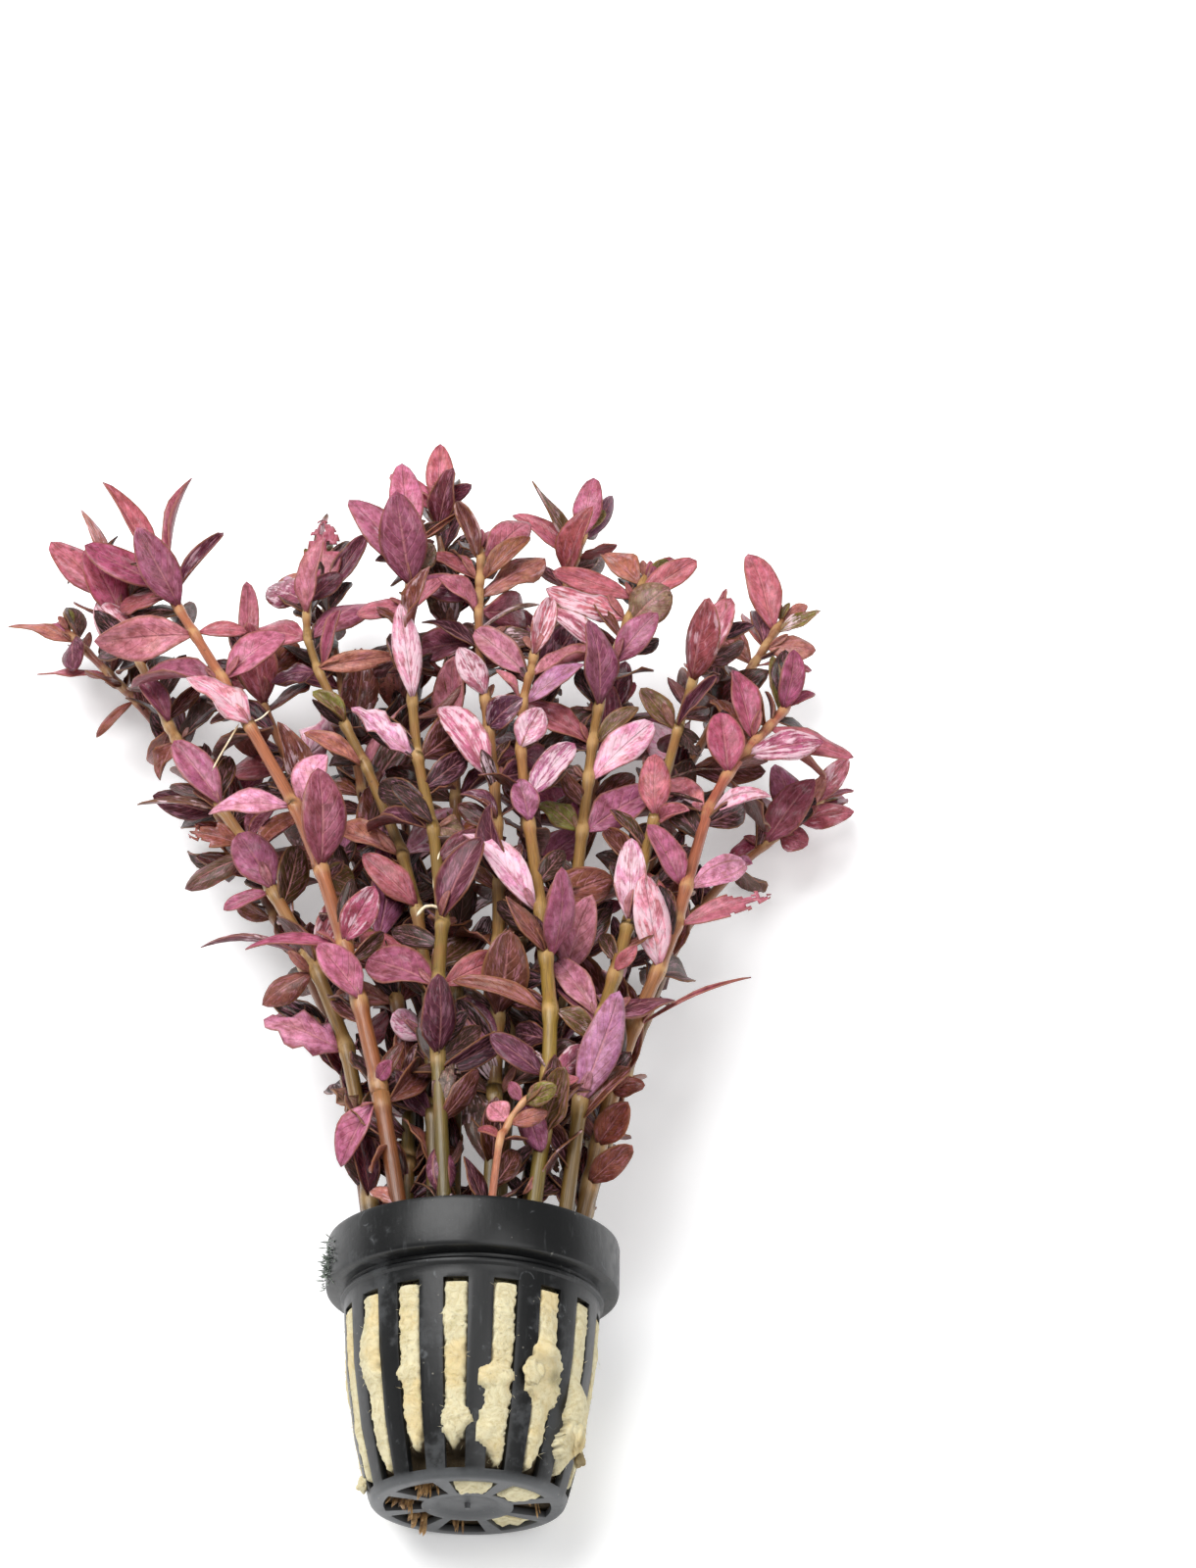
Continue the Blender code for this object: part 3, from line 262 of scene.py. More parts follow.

# Dead leaves: the pixels of base and tip, the width in millimetres, and the rise of the tip
# The glare share is a painted highlight: pale patches that stand in for the shine of a wet leaf
Scrap = namedtuple("Scrap", "shoot base tip width tone rise film")
SCRAPS = [
    Scrap("shoot_centre_left", (441, 1092), (438, 1012), 5.2, "ash", 2.0, 0.0),
    Scrap("shoot_centre_left", (443, 1135), (462, 1078), 4.4, "dried", 3.0, 0.3),
    Scrap("shoot_centre", (476, 1190), (482, 1108), 5.6, "umber", 3.0, 0.3),
    Scrap("shoot_centre", (478, 1105), (484, 1066), 3.6, "dried", 2.0, 0.9),
    Scrap("shoot_centre_left", (445, 1225), (447, 1168), 4.4, "plum", 2.5, 0.0),
    Scrap("shoot_mid_right", (575, 1215), (568, 1178), 4.8, "dried", 3.0, 0.0),
    Scrap("shoot_mid_right", (560, 1190), (526, 1150), 5.0, "olive", 2.0, 0.0),
    Scrap("shoot_centre_right", (563, 1160), (543, 1126), 4.4, "mauve", 3.0, 0.2),
    Scrap("shoot_centre_right", (563, 1096), (543, 1070), 3.4, "dried", 1.0, 0.9),
    Scrap("shoot_centre", (480, 1070), (472, 1020), 5.0, "plum", 1.0, 0.0),
    Scrap("shoot_mid_left", (425, 1140), (405, 1095), 4.4, "plum", 2.0, 0.0),
    Scrap("shoot_mid_left", (420, 1195), (412, 1140), 4.0, "copper", 1.5, 0.0),
    Scrap("shoot_front_left", (396, 1168), (378, 1196), 4.6, "rust", 0.5, 0.0),
    Scrap("shoot_front_left", (398, 1226), (378, 1214), 4.0, "salmon", 1.0, 0.5),
    Scrap("shoot_right", (697, 742), (713, 774), 4.2, "ash", -2.0, 0.0),
    Scrap("shoot_right", (690, 800), (728, 784), 1.8, "umber", -1.0, 0.0),
    Scrap("shoot_right", (684, 812), (716, 822), 1.8, "umber", -2.0, 0.0),
    Scrap("shoot_centre_right", (514, 1190), (536, 1218), 1.3, "salmon", 0.0, 0.0),
    Scrap("shoot_far_left", (376, 552), (336, 526), 1.8, "dried", 1.0, 0.6),
    Scrap("shoot_centre", (498, 642), (549, 614), 2.2, "dried", 0.0, 0.4),
    Scrap("shoot_centre", (505, 900), (470, 880), 5.0, "umber", -1.0, 0.0),
]

# The stage, in metres: the lights' names, places, sizes and shares of the key light's power
FLOOR_HALF = 4.0
LIGHTS = [("key", (-0.5, 0.3, 1.5), 1.2, 1.0), ("fill", (0.7, -0.6, 1.4), 1.0, 0.3)]

Shoot = namedtuple("Shoot", "name rings leaves")
Leaf = namedtuple("Leaf", "base middle tip width normal")
Habit = namedtuple("Habit", "fold cup twist wave waves phase curl blunt")
# The glare share is a painted highlight: pale patches that stand in for the shine of a wet leaf
Look = namedtuple("Look", "colour film decay")


def pixel_of(place):
    """Where a point in millimetres shows in the reference view."""
    ray = place - VIEW_POINT
    deep = ray.dot(VIEW_AHEAD)
    return (VIEW_SIZE[0] / 2 + VIEW_FOCUS * ray.x / deep,
            VIEW_SIZE[1] / 2 - VIEW_FOCUS * ray.dot(VIEW_UP) / deep)


def seen_at(pixel, height):
    """The point at a height over the floor that shows at a pixel."""
    ray = VIEW_AHEAD * VIEW_FOCUS + Vector((pixel[0] - VIEW_SIZE[0] / 2, 0, 0)) \
        + VIEW_UP * (VIEW_SIZE[1] / 2 - pixel[1])
    return VIEW_POINT + ray * (height - VIEW_POINT.z) / ray.z


def near_mark(pixel, marks):
    """Whether a pixel lies at one of the marked tips."""
    return any(math.dist(pixel, mark) < MARK_REACH for mark in marks)


def in_crown(pixel):
    """Whether a pixel lies inside the filled part of the bunch."""
    x, y = pixel
    inside = False
    for (x0, y0), (x1, y1) in zip(CROWN, CROWN[1:] + CROWN[:1]):
        if (y0 > y) != (y1 > y) and x < x0 + (x1 - x0) * (y - y0) / (y1 - y0):
            inside = not inside
    return inside


def smooth(low, high, value):
    """0 below low, 1 above high, and an even rise between them."""
    share = min(1.0, max(0.0, (value - low) / (high - low)))
    return share * share * (3 - 2 * share)


# Meshes

def new_bmesh(*attributes):
    """An empty bmesh with the piece's own map and the colour attributes it will need."""
    bm = bmesh.new()
    bm.loops.layers.uv.new("piece_uv")
    for name in attributes:
        bm.verts.layers.float_color.new(name)
    return bm


def wrapped_grid(bm, across, along, place):
    """A grid whose corners go to place(u, v), for u and v from 0 to 1. Gives its corners' u, v."""
    corners = bmesh.ops.create_grid(bm, x_segments=across, y_segments=along, size=0.5,
                                    calc_uvs=True)["verts"]
    shares = {corner: (corner.co.x + 0.5, corner.co.y + 0.5) for corner in corners}
    for corner, (u, v) in shares.items():
        corner.co = place(u, v)
    return shares


def paint_corners(bm, corners, name, colour):
    """Give corners a value in a colour attribute."""
    layer = bm.verts.layers.float_color[name]
    for corner in corners:
        corner[layer] = (*colour, 1.0) if len(colour) == 3 else colour


def piece_from(bm, name, finishes, replaced=(), slot=None, closed=True):
    """Turn a bmesh in millimetres into a finished piece that rides on the root."""
    if closed:
        bmesh.ops.recalc_face_normals(bm, faces=bm.faces)
    bmesh.ops.scale(bm, vec=(MM, MM, MM), verts=bm.verts)
    mesh = bpy.data.meshes.new(name)
    bm.to_mesh(mesh)
    bm.free()
    for polygon in mesh.polygons:
        polygon.use_smooth = True
    for finish in finishes:
        mesh.materials.append(finish)
    piece = bpy.data.objects.new(name, mesh)
    bpy.context.scene.collection.objects.link(piece)
    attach(piece, "root")
    if replaced:
        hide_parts(*replaced)
    return piece


def scatter(rng, spread):
    """A random direction whose three parts have the same spread."""
    return Vector([rng.gauss(0, spread) for _ in range(3)])


def slot_of(node):
    """The record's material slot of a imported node."""
    rows = frame["record"]["subparts"]
    return next(row["material_slot"] for row in rows if row["node"] == node)


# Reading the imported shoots

def read_shoot(name):
    """The stem's rings from root to tip, and the leaves, of one packed shoot."""
    bm = bmesh.new()
    bm.from_mesh(frame["nodes"][name].data)
    bmesh.ops.remove_doubles(bm, verts=bm.verts, dist=MERGE)
    bmesh.ops.scale(bm, vec=(1 / MM, 1 / MM, 1 / MM), verts=bm.verts)
    leaves, leafy, bud = [], set(), None
    for vert in bm.verts:
        pairs = opposite_pairs(vert)
        if not pairs:
            continue
        wide, thin = sorted(pairs, key=lambda p: (p[0].co - p[1].co).length, reverse=True)
        spans = [(a.co - b.co).length for a, b in (wide, thin)]
        if spans[0] > LEAF_FLAT * spans[1]:
            leaves.append(read_leaf(vert, wide, thin))
            leafy.update((vert, *wide, *thin))
        else:
            bud = vert
    ring = neighbours({bud}) - leafy
    seen = {bud} | leafy
    rings = [(bud.co.copy(), 0.0)]
    while ring:
        centre = sum((v.co for v in ring), Vector()) / len(ring)
        reach = sum((v.co - centre).length for v in ring) / len(ring)
        rings.append((centre, reach / RING_CORNER))
        seen |= ring
        ring = neighbours(ring) - seen
    bm.free()
    return Shoot(name, rings[::-1], leaves)


def neighbours(verts):
    return {edge.other_vert(vert) for vert in verts for edge in vert.link_edges}


def opposite_pairs(vert):
    """The two crossing pairs round a point that closes a four-cornered section, if it does."""
    around = [edge.other_vert(vert) for edge in vert.link_edges]
    if len(around) != 4:
        return None
    joined = neighbours({around[0]})
    opposite = [other for other in around[1:] if other not in joined]
    if len(opposite) != 1:
        return None
    first = (around[0], opposite[0])
    second = tuple(other for other in around if other not in first)
    middles = [(a.co + b.co) / 2 for a, b in (first, second)]
    return (first, second) if (middles[0] - middles[1]).length < TRUE_CENTRE else None


def read_leaf(tip, wide, thin):
    """A leaf's base, middle, tip, width and upper side."""
    section = {*wide, *thin}
    root = neighbours(section) - section - {tip}
    base = sum((v.co for v in root), Vector()) / len(root)
    middle = (wide[0].co + wide[1].co) / 2
    normal = (thin[0].co - thin[1].co).normalized()
    if normal.z < 0:
        normal = -normal
    return Leaf(base, middle, tip.co.copy(), (wide[0].co - wide[1].co).length, normal)


def free_leaf(base, tip, width, roll=0.0):
    """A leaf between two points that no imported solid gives."""
    ahead = (tip - base).normalized()
    up = Vector((0, 0, 1)) - ahead * ahead.z
    normal = Matrix.Rotation(roll, 3, ahead) @ (up.normalized() if up.length > 0.05
                                                 else Vector((0, -1, 0)))
    middle = base.lerp(tip, BROAD) + normal * (tip - base).length * 0.05
    return Leaf(base, middle, tip, width, normal)


# Leaves

def leaf_outline(v, blunt):
    """Share of the full width at a share of the length."""
    if v < BROAD:
        return max(STALK, math.sin(math.pi / 2 * v / BROAD) ** 0.84)
    return max(0.0, math.cos(math.pi / 2 * (v - BROAD) / (1 - BROAD))) ** blunt


def leaf_point(leaf, habit, u, v):
    """A point of a leaf's blade: u from edge to edge, v from base to tip."""
    v = 1 - (1 - v) ** 1.3
    side = 2 * u - 1
    length = (leaf.tip - leaf.base).length
    ahead = (leaf.tip - leaf.base) / length
    spine = leaf.base * ((v - BROAD) * (v - 1) / BROAD) \
        + leaf.middle * (v * (v - 1) / (BROAD * (BROAD - 1))) \
        + leaf.tip * (v * (v - BROAD) / (1 - BROAD))
    normal = Matrix.Rotation(habit.twist * (v - 0.3), 3, ahead) @ leaf.normal
    normal = (normal - ahead * normal.dot(ahead)).normalized()
    across = ahead.cross(normal)
    half = leaf.width / 2 * leaf_outline(v, habit.blunt)
    fold = habit.fold + habit.cup * abs(side)
    beat = math.sin(2 * math.pi * (habit.waves * v + habit.phase) + 1.3 * side)
    lift = abs(side) * half * math.sin(fold) + habit.wave * half * side * side * beat
    lift += habit.curl * length * (max(0.0, v - 0.5) ** 2)
    point = spine + across * side * half * math.cos(fold) + normal * lift
    point.z = max(point.z, LEAF_LOW)
    return point


def draw_habit(rng, pixel):
    """How a leaf is bent: at random, or as marked in the reference view."""
    fold = rng.uniform(-0.1, 0.55)
    cup = rng.uniform(-0.3, 0.4)
    twist = rng.gauss(0, 0.45)
    wave = rng.uniform(0.02, 0.2)
    waves = rng.uniform(1.0, 2.2)
    phase = rng.random()
    curl = rng.gauss(-0.08, 0.3)
    blunt = rng.uniform(0.46, 0.66)
    if near_mark(pixel, CRUMPLED):
        wave, waves, twist = 0.38, 2.8, 0.5
    if near_mark(pixel, FOLDED):
        fold, cup = 0.95, 0.2
    if near_mark(pixel, FLAT):
        fold, wave, twist, blunt = 0.08, 0.04, 0.0, 0.5
    return Habit(fold, cup, twist, wave, waves, phase, curl, blunt)


def add_leaf(bm, leaf, habit, look, seed, torn=False, along=LEAF_ALONG):
    """One blade, with its colour and state as attributes."""
    across = LEAF_ACROSS
    if torn:
        across, along = TORN_ACROSS, TORN_ALONG
    corners = wrapped_grid(bm, across, along, lambda u, v: leaf_point(leaf, habit, u, v))
    paint_corners(bm, corners, "leaf_colour", look.colour)
    paint_corners(bm, corners, "leaf_state", (look.film, look.decay, seed))
    if torn:
        tear(bm, corners, seed)
    tips = [c for c in corners if c.is_valid and (c.co - leaf.tip).length < 0.6 * leaf.width]
    bmesh.ops.remove_doubles(bm, verts=tips, dist=0.01)


def tear(bm, corners, seed):
    """Take ragged bites out of a blade's edge and its tip."""
    uv = bm.loops.layers.uv["piece_uv"]
    faces = {face for corner in corners for face in corner.link_faces}
    gone = []
    for face in faces:
        u = sum(loop[uv].uv.x for loop in face.loops) / len(face.loops)
        v = sum(loop[uv].uv.y for loop in face.loops) / len(face.loops)
        ragged = noise.noise(Vector((u * 5, v * 9, seed * 50)))
        side = abs(2 * u - 1)
        if side > 0.62 + ragged * 0.9 and v > 0.45 or v > 0.86 + ragged * 0.35:
            gone.append(face)
    bmesh.ops.delete(bm, geom=gone, context="FACES")


class Canopy:
    """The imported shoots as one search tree, to tell how much light reaches a leaf."""

    RAYS = [Vector(ray).normalized() for ray in
            ((0, 0, 1), (0, -0.8, 1), (-0.7, 0, 1), (0.7, 0, 1), (0, 0.6, 1), (0, -0.5, 1))]

    def __init__(self, names):
        points, faces = [], []
        for name in names:
            mesh = frame["nodes"][name].data
            start = len(points)
            points += [vert.co / MM for vert in mesh.vertices]
            faces += [[start + n for n in polygon.vertices] for polygon in mesh.polygons]
        self.tree = BVHTree.FromPolygons([tuple(p) for p in points], faces)

    def covers(self, place, behind=False):
        """Whether something lies between a point and the reference view, or behind it."""
        ray = (VIEW_POINT - place).normalized() * (-1 if behind else 1)
        return self.tree.ray_cast(place + ray * 1.5, ray)[0] is not None

    def light(self, place):
        """Share of the upward rays that nothing stops."""
        open_rays = [self.tree.ray_cast(place + ray * 1.2, ray)[0] is None for ray in self.RAYS]
        return sum(open_rays) / len(open_rays)


def draw_tone(rng, light, share):
    """A tone for a leaf that isn't marked: pink in the light, brown and olive in the shade."""
    sunny = ["rose", "mauve", "rose", "salmon", "copper", "pale", "mauve", "plum"]
    middling = ["plum", "copper", "mauve", "umber", "rust", "umber", "olive", "copper"]
    shaded = ["umber", "plum", "copper", "olive", "ash", "rust", "copper", "umber", "ash"]
    # Painted shade: leaves near the stem's root, crowded at the pot's mouth, take the shaded tones
    if share < 0.35:
        light -= 0.3
    if light > 0.6:
        return rng.choice(sunny)
    return rng.choice(middling if light > 0.25 else shaded)


def leaf_look(rng, leaf, light, share, marked=True):
    """Colour, painted glare and decay of a leaf; the colour is darkened as painted shade where
    little light reaches it.
    """
    pixel = pixel_of(leaf.tip) if marked else (0, 0)
    tone = next((t for t, marks in MARKED_TONES.items() if near_mark(pixel, marks)), None)
    drawn = draw_tone(rng, light, share)
    name = tone or drawn
    shade_and_variation = 1 + rng.gauss(0, 0.08)
    shift = rng.gauss(0, 0.05)
    red, green, blue = TONES[name]
    # Painted shade: leaves that aren't marked are darker where less light reaches them, the
    # undergrowth darker again
    if not tone:
        shade_and_variation *= 0.33 + 0.42 * min(1.0, light * 1.4)
        shift += 0.08
    if not marked:
        shade_and_variation *= 0.5
        shift += 0.1
    colour = (red * shade_and_variation * (1 + shift), green * shade_and_variation, blue * shade_and_variation * (1 - shift))
    # Painted highlight: some leaves get pale patches that stand in for the glare of their wet
    # surface
    film = rng.uniform(0.0, 0.5) if rng.random() < (0.3 if marked else 0.08) else 0.0
    if near_mark(pixel, PAINTED_GLARE_TIPS):
        film = 0.8
    decay = rng.uniform(0.0, 0.3) + 0.35 * (1 - light) * rng.random()
    if name in ("ash", "umber", "dried"):
        decay += 0.25
    return Look(colour, film, decay)


# Stems

def smooth_route(rings):
    """A Catmull-Rom route through the rings, read at even steps. Gives places and radii."""
    rows = [Vector((*centre, radius)) for centre, radius in rings]
    ends = [rows[0] * 2 - rows[1]] + rows + [rows[-1] * 2 - rows[-2]]
    route = []
    for a, b, c, d in zip(ends, ends[1:], ends[2:], ends[3:]):
        count = max(1, round((c - b).length / STEM_STEP))
        for number in range(count):
            t = number / count
            route.append(0.5 * (2 * b + (c - a) * t + (2 * a - 5 * b + 4 * c - d) * t * t
                                + (3 * b - a - 3 * c + d) * t ** 3))
    return route + [rows[-1]]


def add_tube(bm, route, sides, colour_at=None, layer="stem_colour"):
    """A closed tube along rows of place and radius."""
    places = [Vector(row[:3]) for row in route]
    side = None
    frames = []
    for number, place in enumerate(places):
        before, after = places[max(0, number - 1)], places[min(len(places) - 1, number + 1)]
        ahead = (after - before).normalized()
        if side is None:
            side = ahead.orthogonal().normalized()
        side = (side - ahead * side.dot(ahead)).normalized()
        frames.append((side.copy(), ahead.cross(side)))
    last = len(route) - 1

    def place_at(u, v):
        number = round(v * last)
        radius = 0.0 if number in (0, last) else max(0.0, route[number][3])
        turn = -2 * math.pi * u
        out = frames[number][0] * math.cos(turn) + frames[number][1] * math.sin(turn)
        return places[number] + out * radius

    corners = wrapped_grid(bm, sides, last, place_at)
    if colour_at:
        for corner, (_, v) in corners.items():
            paint_corners(bm, [corner], layer, colour_at(v, places[round(v * last)]))
    bmesh.ops.remove_doubles(bm, verts=list(corners), dist=0.001)


def add_strand(bm, way, thick, sides):
    """A thin tube of even thickness that bends through a few places."""
    add_tube(bm, smooth_route([(place, thick / 2) for place in way]), sides)


def stem_route(shoot):
    """The stem's route with swollen nodes."""
    route = smooth_route(shoot.rings)
    joints = [leaf.base for leaf in shoot.leaves]
    for row in route:
        place = Vector(row[:3])
        gap = min((joint - place).length for joint in joints)
        row[3] *= 1 + NODE_SWELL * math.exp(-(gap / (NODE_RUN + row[3])) ** 4)
    return route


def make_stem(shoot, finish):
    """One stem, coloured from its root to its tip, with pale rings at its nodes."""
    bm = new_bmesh("stem_colour")
    low, high = (Vector(c) for c in STEM_TONES.get(shoot.name, STEM_PLAIN))
    joints = [leaf.base for leaf in shoot.leaves]

    def colour_at(share, place):
        # Painted shade: the stem darkens towards its root
        lit = ROOT_SHADE + (1 - ROOT_SHADE) * smooth(0.0, 0.3, share)
        tone = low.lerp(high, smooth(0.1, 0.95, share)) * lit
        gap = min((joint - place).length for joint in joints)
        return (*tone, math.exp(-(gap / NODE_RING) ** 4))

    add_tube(bm, stem_route(shoot), STEM_SIDES, colour_at)
    piece_from(bm, shoot.name + "_stem", [finish], [shoot.name], slot_of(shoot.name))


def make_leaves(shoot, canopy, finishes, rng):
    """All leaves of a shoot, its young leaves at the bud and the small ones in its axils."""
    bm = new_bmesh("leaf_colour", "leaf_state")
    route = [Vector(centre) for centre, _ in shoot.rings]
    length = (route[-1] - route[0]).length
    for leaf in shoot.leaves:
        light = canopy.light(leaf.middle)
        share = (leaf.base - route[0]).length / length
        look = leaf_look(rng, leaf, light, share)
        pixel = pixel_of(leaf.tip)
        add_leaf(bm, leaf, draw_habit(rng, pixel), look, rng.random(), near_mark(pixel, TORN))
        if rng.random() < AXIL_SHARE:
            add_axil_leaf(bm, leaf, look, rng)
    add_bud(bm, route, shoot, rng)
    add_undergrowth(bm, shoot, canopy, rng)
    give_blade(piece_from(bm, shoot.name + "_leaves", finishes, [shoot.name],
                          slot_of(shoot.name), closed=False))


def give_blade(piece):
    """Give open blades their thickness, with the second material underneath."""
    body = piece.modifiers.new("blade", "SOLIDIFY")
    body.thickness = bpy.context.scene.rotala_leaf.thickness
    body.offset = 0.0
    body.material_offset = 1
    body.material_offset_rim = 0


def add_axil_leaf(bm, leaf, look, rng):
    """A small young leaf between a leaf and its stem."""
    ahead = (leaf.tip - leaf.base).normalized()
    lean = ahead + Vector((0, 0.5, 0.6)) + scatter(rng, 0.25)
    size = rng.uniform(2.2, 5.0)
    small = free_leaf(leaf.base, leaf.base + lean.normalized() * size, size * 0.36,
                      rng.gauss(0, 0.5))
    tone = Vector(look.colour).lerp(Vector(TONES["salmon"]), 0.5)
    add_leaf(bm, small, draw_habit(rng, (0, 0)), Look(tone, 0.0, 0.1), rng.random())


def add_undergrowth(bm, shoot, canopy, rng):
    """The many smaller and darker leaves inside the bunch, kept to its filled part."""
    into_pot = POT_PLACE.inverted()
    route = smooth_route(shoot.rings)
    places = [Vector(row[:3]) for row in route]
    last = len(places) - 1
    gone = 0.0
    for number in range(2, last - 2):
        gone += (places[number] - places[number - 1]).length
        if gone < UNDER_STEP:
            continue
        gone = rng.uniform(-1.0, 1.0)
        ahead = (places[number + 1] - places[number - 1]).normalized()
        side = Matrix.Rotation(rng.uniform(0, 2 * math.pi), 3, ahead) @ ahead.orthogonal()
        size = rng.uniform(*UNDER_SIZES)
        reach = (side.normalized() + ahead * rng.uniform(0.5, 1.8)).normalized() * size
        tip = places[number] + reach
        middle = places[number] + reach * 0.5
        in_mouth = (into_pot @ tip).z < RIM + 1 or (into_pot @ places[number]).z < WOOL_TOP + 2
        if tip.z < 0.6 or in_mouth or not in_crown(pixel_of(tip)):
            continue
        covered = canopy.covers(middle)
        towards_view = side.normalized().dot((VIEW_POINT - middle).normalized())
        over_others = canopy.covers(middle, True) and rng.random() < 0.7
        if not covered and (towards_view > 0.15 or over_others):
            continue
        leaf = free_leaf(places[number], tip, size * rng.uniform(0.34, 0.48), rng.gauss(0, 0.8))
        # Painted shade: undergrowth counts as dim, dimmer still where other leaves cover it
        light = canopy.light(middle) * (0.3 if covered else 0.6)
        look = leaf_look(rng, leaf, light, number / last, False)
        add_leaf(bm, leaf, draw_habit(rng, (0, 0)), look, rng.random(), along=UNDER_ALONG)


def add_bud(bm, route, shoot, rng):
    """The youngest leaves, closed round the tip of the stem."""
    tip = route[-1]
    ahead = (route[-1] - route[-3]).normalized()
    side = ahead.cross(Vector((0, 0, 1))).normalized()
    for number, size in enumerate(BUD_SIZES):
        turn = Matrix.Rotation(number * math.pi / 2 + rng.uniform(-0.3, 0.3), 3, ahead)
        out = turn @ side
        base = tip - ahead * 2.6 + out * 0.35
        end = base + (ahead + out * rng.uniform(0.25, 0.6)).normalized() * size
        young = free_leaf(base, end, size * 0.42, rng.gauss(0, 0.3))
        colour = TONES[rng.choice(["rose", "salmon", "magenta", "green"])]
        add_leaf(bm, young, draw_habit(rng, (0, 0)), Look(colour, 0.0, 0.05), rng.random())


# Net pot

def body_radius(along):
    """The pot's outer radius at a distance from its foot."""
    for (r0, s0), (r1, s1) in zip(BODY, BODY[1:]):
        if along <= s1:
            return r0 + (r1 - r0) * (along - s0) / (s1 - s0)
    return BODY[-1][0]


def pot_profile():
    """The outer outline from the middle of the foot to the rim, as radius and distance."""
    rows = [SLOT_START, 3.2, 4.8, 7.0, 10.0, 15.0, 20.0, 24.5, 27.6, SLOT_END, 30.0]
    return FOOT_PROFILE + [(body_radius(s), s) for s in rows] + COLLAR_PROFILE


def make_pot(finish, rounding):
    """A turned cup with slots and foot openings, walled inwards, its edges rounded."""
    bm = bmesh.new()
    corners = [bm.verts.new((r, 0, s)) for r, s in pot_profile()]
    edges = [bm.edges.new(pair) for pair in zip(corners, corners[1:])]
    bmesh.ops.spin(bm, geom=corners + edges, cent=(0, 0, 0), axis=(0, 0, 1),
                   angle=2 * math.pi, steps=POT_STEPS, use_merge=True)
    bmesh.ops.remove_doubles(bm, verts=bm.verts, dist=0.001)
    gone = []
    for face in bm.faces:
        centre = face.calc_center_median()
        turn = math.atan2(centre.y, centre.x) % (2 * math.pi)
        flat = int(turn / (2 * math.pi) * POT_FLATS)
        reach = math.hypot(centre.x, centre.y)
        slot = SLOT_START < centre.z < SLOT_END and flat % 2 == 1
        opening = centre.z < 0.01 and FOOT_OPENING[0] < reach < FOOT_OPENING[1]
        if slot or opening and flat % SPOKE_FLATS != SPOKE_FLAT:
            gone.append(face)
    bmesh.ops.delete(bm, geom=gone, context="FACES")
    bmesh.ops.recalc_face_normals(bm, faces=bm.faces)
    low = min(bm.faces, key=lambda f: f.calc_center_median().z)
    if low.normal.z > 0:
        bmesh.ops.reverse_faces(bm, faces=bm.faces)
    bmesh.ops.transform(bm, matrix=POT_PLACE, verts=bm.verts)
    pot = piece_from(bm, "net_pot_shell", [finish], ["net_pot"], "pot_plastic", closed=False)
    wall = pot.modifiers.new("wall", "SOLIDIFY")
    wall.thickness = WALL * MM
    wall.offset = -1.0
    wall.use_even_offset = True
    edge = pot.modifiers.new("edge", "BEVEL")
    edge.width = rounding
    edge.segments = 2
    edge.limit_method = "ANGLE"
    edge.angle_limit = math.radians(35)


# Rock wool

def nearest_slot(turn):
    """The number of the nearest slot and the distance from its middle, in flats."""
    flats = turn * POT_FLATS
    number = round((flats - 1.5) / 2)
    return (number + 1) % (POT_FLATS // 2), flats - (2 * number + 1.5)


def wool_reach(turn, along):
    """The wool's radius: behind the ribs it stays inside, in the slots it swells out."""
    slot, offset = nearest_slot(turn)
    radius = body_radius(along)
    miss = offset * FLAT_ANGLE * radius
    half = radius * FLAT_ANGLE / 2 - 0.1
    proud = 0.15 + 0.6 * noise.noise(Vector((slot * 7.3, along * 0.16, 2.0)))
    hand = Vector((slot * 5.1 + (miss > 0) * 40, along * 0.9, 0))
    ragged = 0.34 * noise.noise(hand) + 0.2 * noise.noise(hand * 2.7)
    for swell in SWELLS:
        if swell.slot == slot:
            share = math.exp(-((along - swell.along) / swell.run) ** 4)
            half += share * (swell.left if miss < 0 else swell.right)
            proud += share * swell.proud
            ragged *= 1 + share
    low = LOW_ENDS.get(slot, 2.2 + 2.5 * abs(noise.noise(Vector((slot * 3.7, 0, 9)))))
    filled = smooth(low - 0.5, low + 0.6, along) * (1 - smooth(SLOT_END - 0.9, SLOT_END, along))
    taper = 0.35 + 0.65 * smooth(low, low + 4.5, along)
    edge = max(0.3, half * taper + ragged)
    miss += 0.5 * half * (1 - taper) * math.sin(slot * 2.3)
    inside = 1 - smooth(edge - 0.3, edge + 0.25, abs(miss))
    lumps = Vector((turn * 60, along * 0.5, 4))
    rough = 0.26 * noise.noise(lumps) + 0.1 * noise.noise(lumps * 2.5)
    outer = radius + max(0.05, proud + rough - 0.55 * (miss / edge) ** 2)
    inner = radius - WALL - 0.45 - 2.6 * (1 - filled) * (1 - smooth(0.7, 1.1, abs(offset)))
    return inner + (outer - inner) * inside * filled


def wool_foot(turn, radius):
    """How deep the wool lies behind the foot, or how far it comes out of an opening."""
    flats = turn * POT_FLATS
    number = round((flats - FIRST_OPENING) / SPOKE_FLATS)
    miss = abs(flats - FIRST_OPENING - number * SPOKE_FLATS) * FLAT_ANGLE * radius
    half = 1.5 * FLAT_ANGLE * radius - 0.25
    inner, outer = FOOT_OPENING
    inside = (1 - smooth(half - 0.4, half, miss)) * smooth(inner + 0.1, inner + 0.6, radius) \
        * (1 - smooth(outer - 0.6, outer - 0.1, radius))
    deep = FOOT_FILL[number % len(FOOT_FILL)]
    rough = 0.5 * noise.noise(Vector((turn * 40, radius * 0.7, 7)))
    return WALL + 0.4 + (deep + rough - WALL - 0.4) * inside


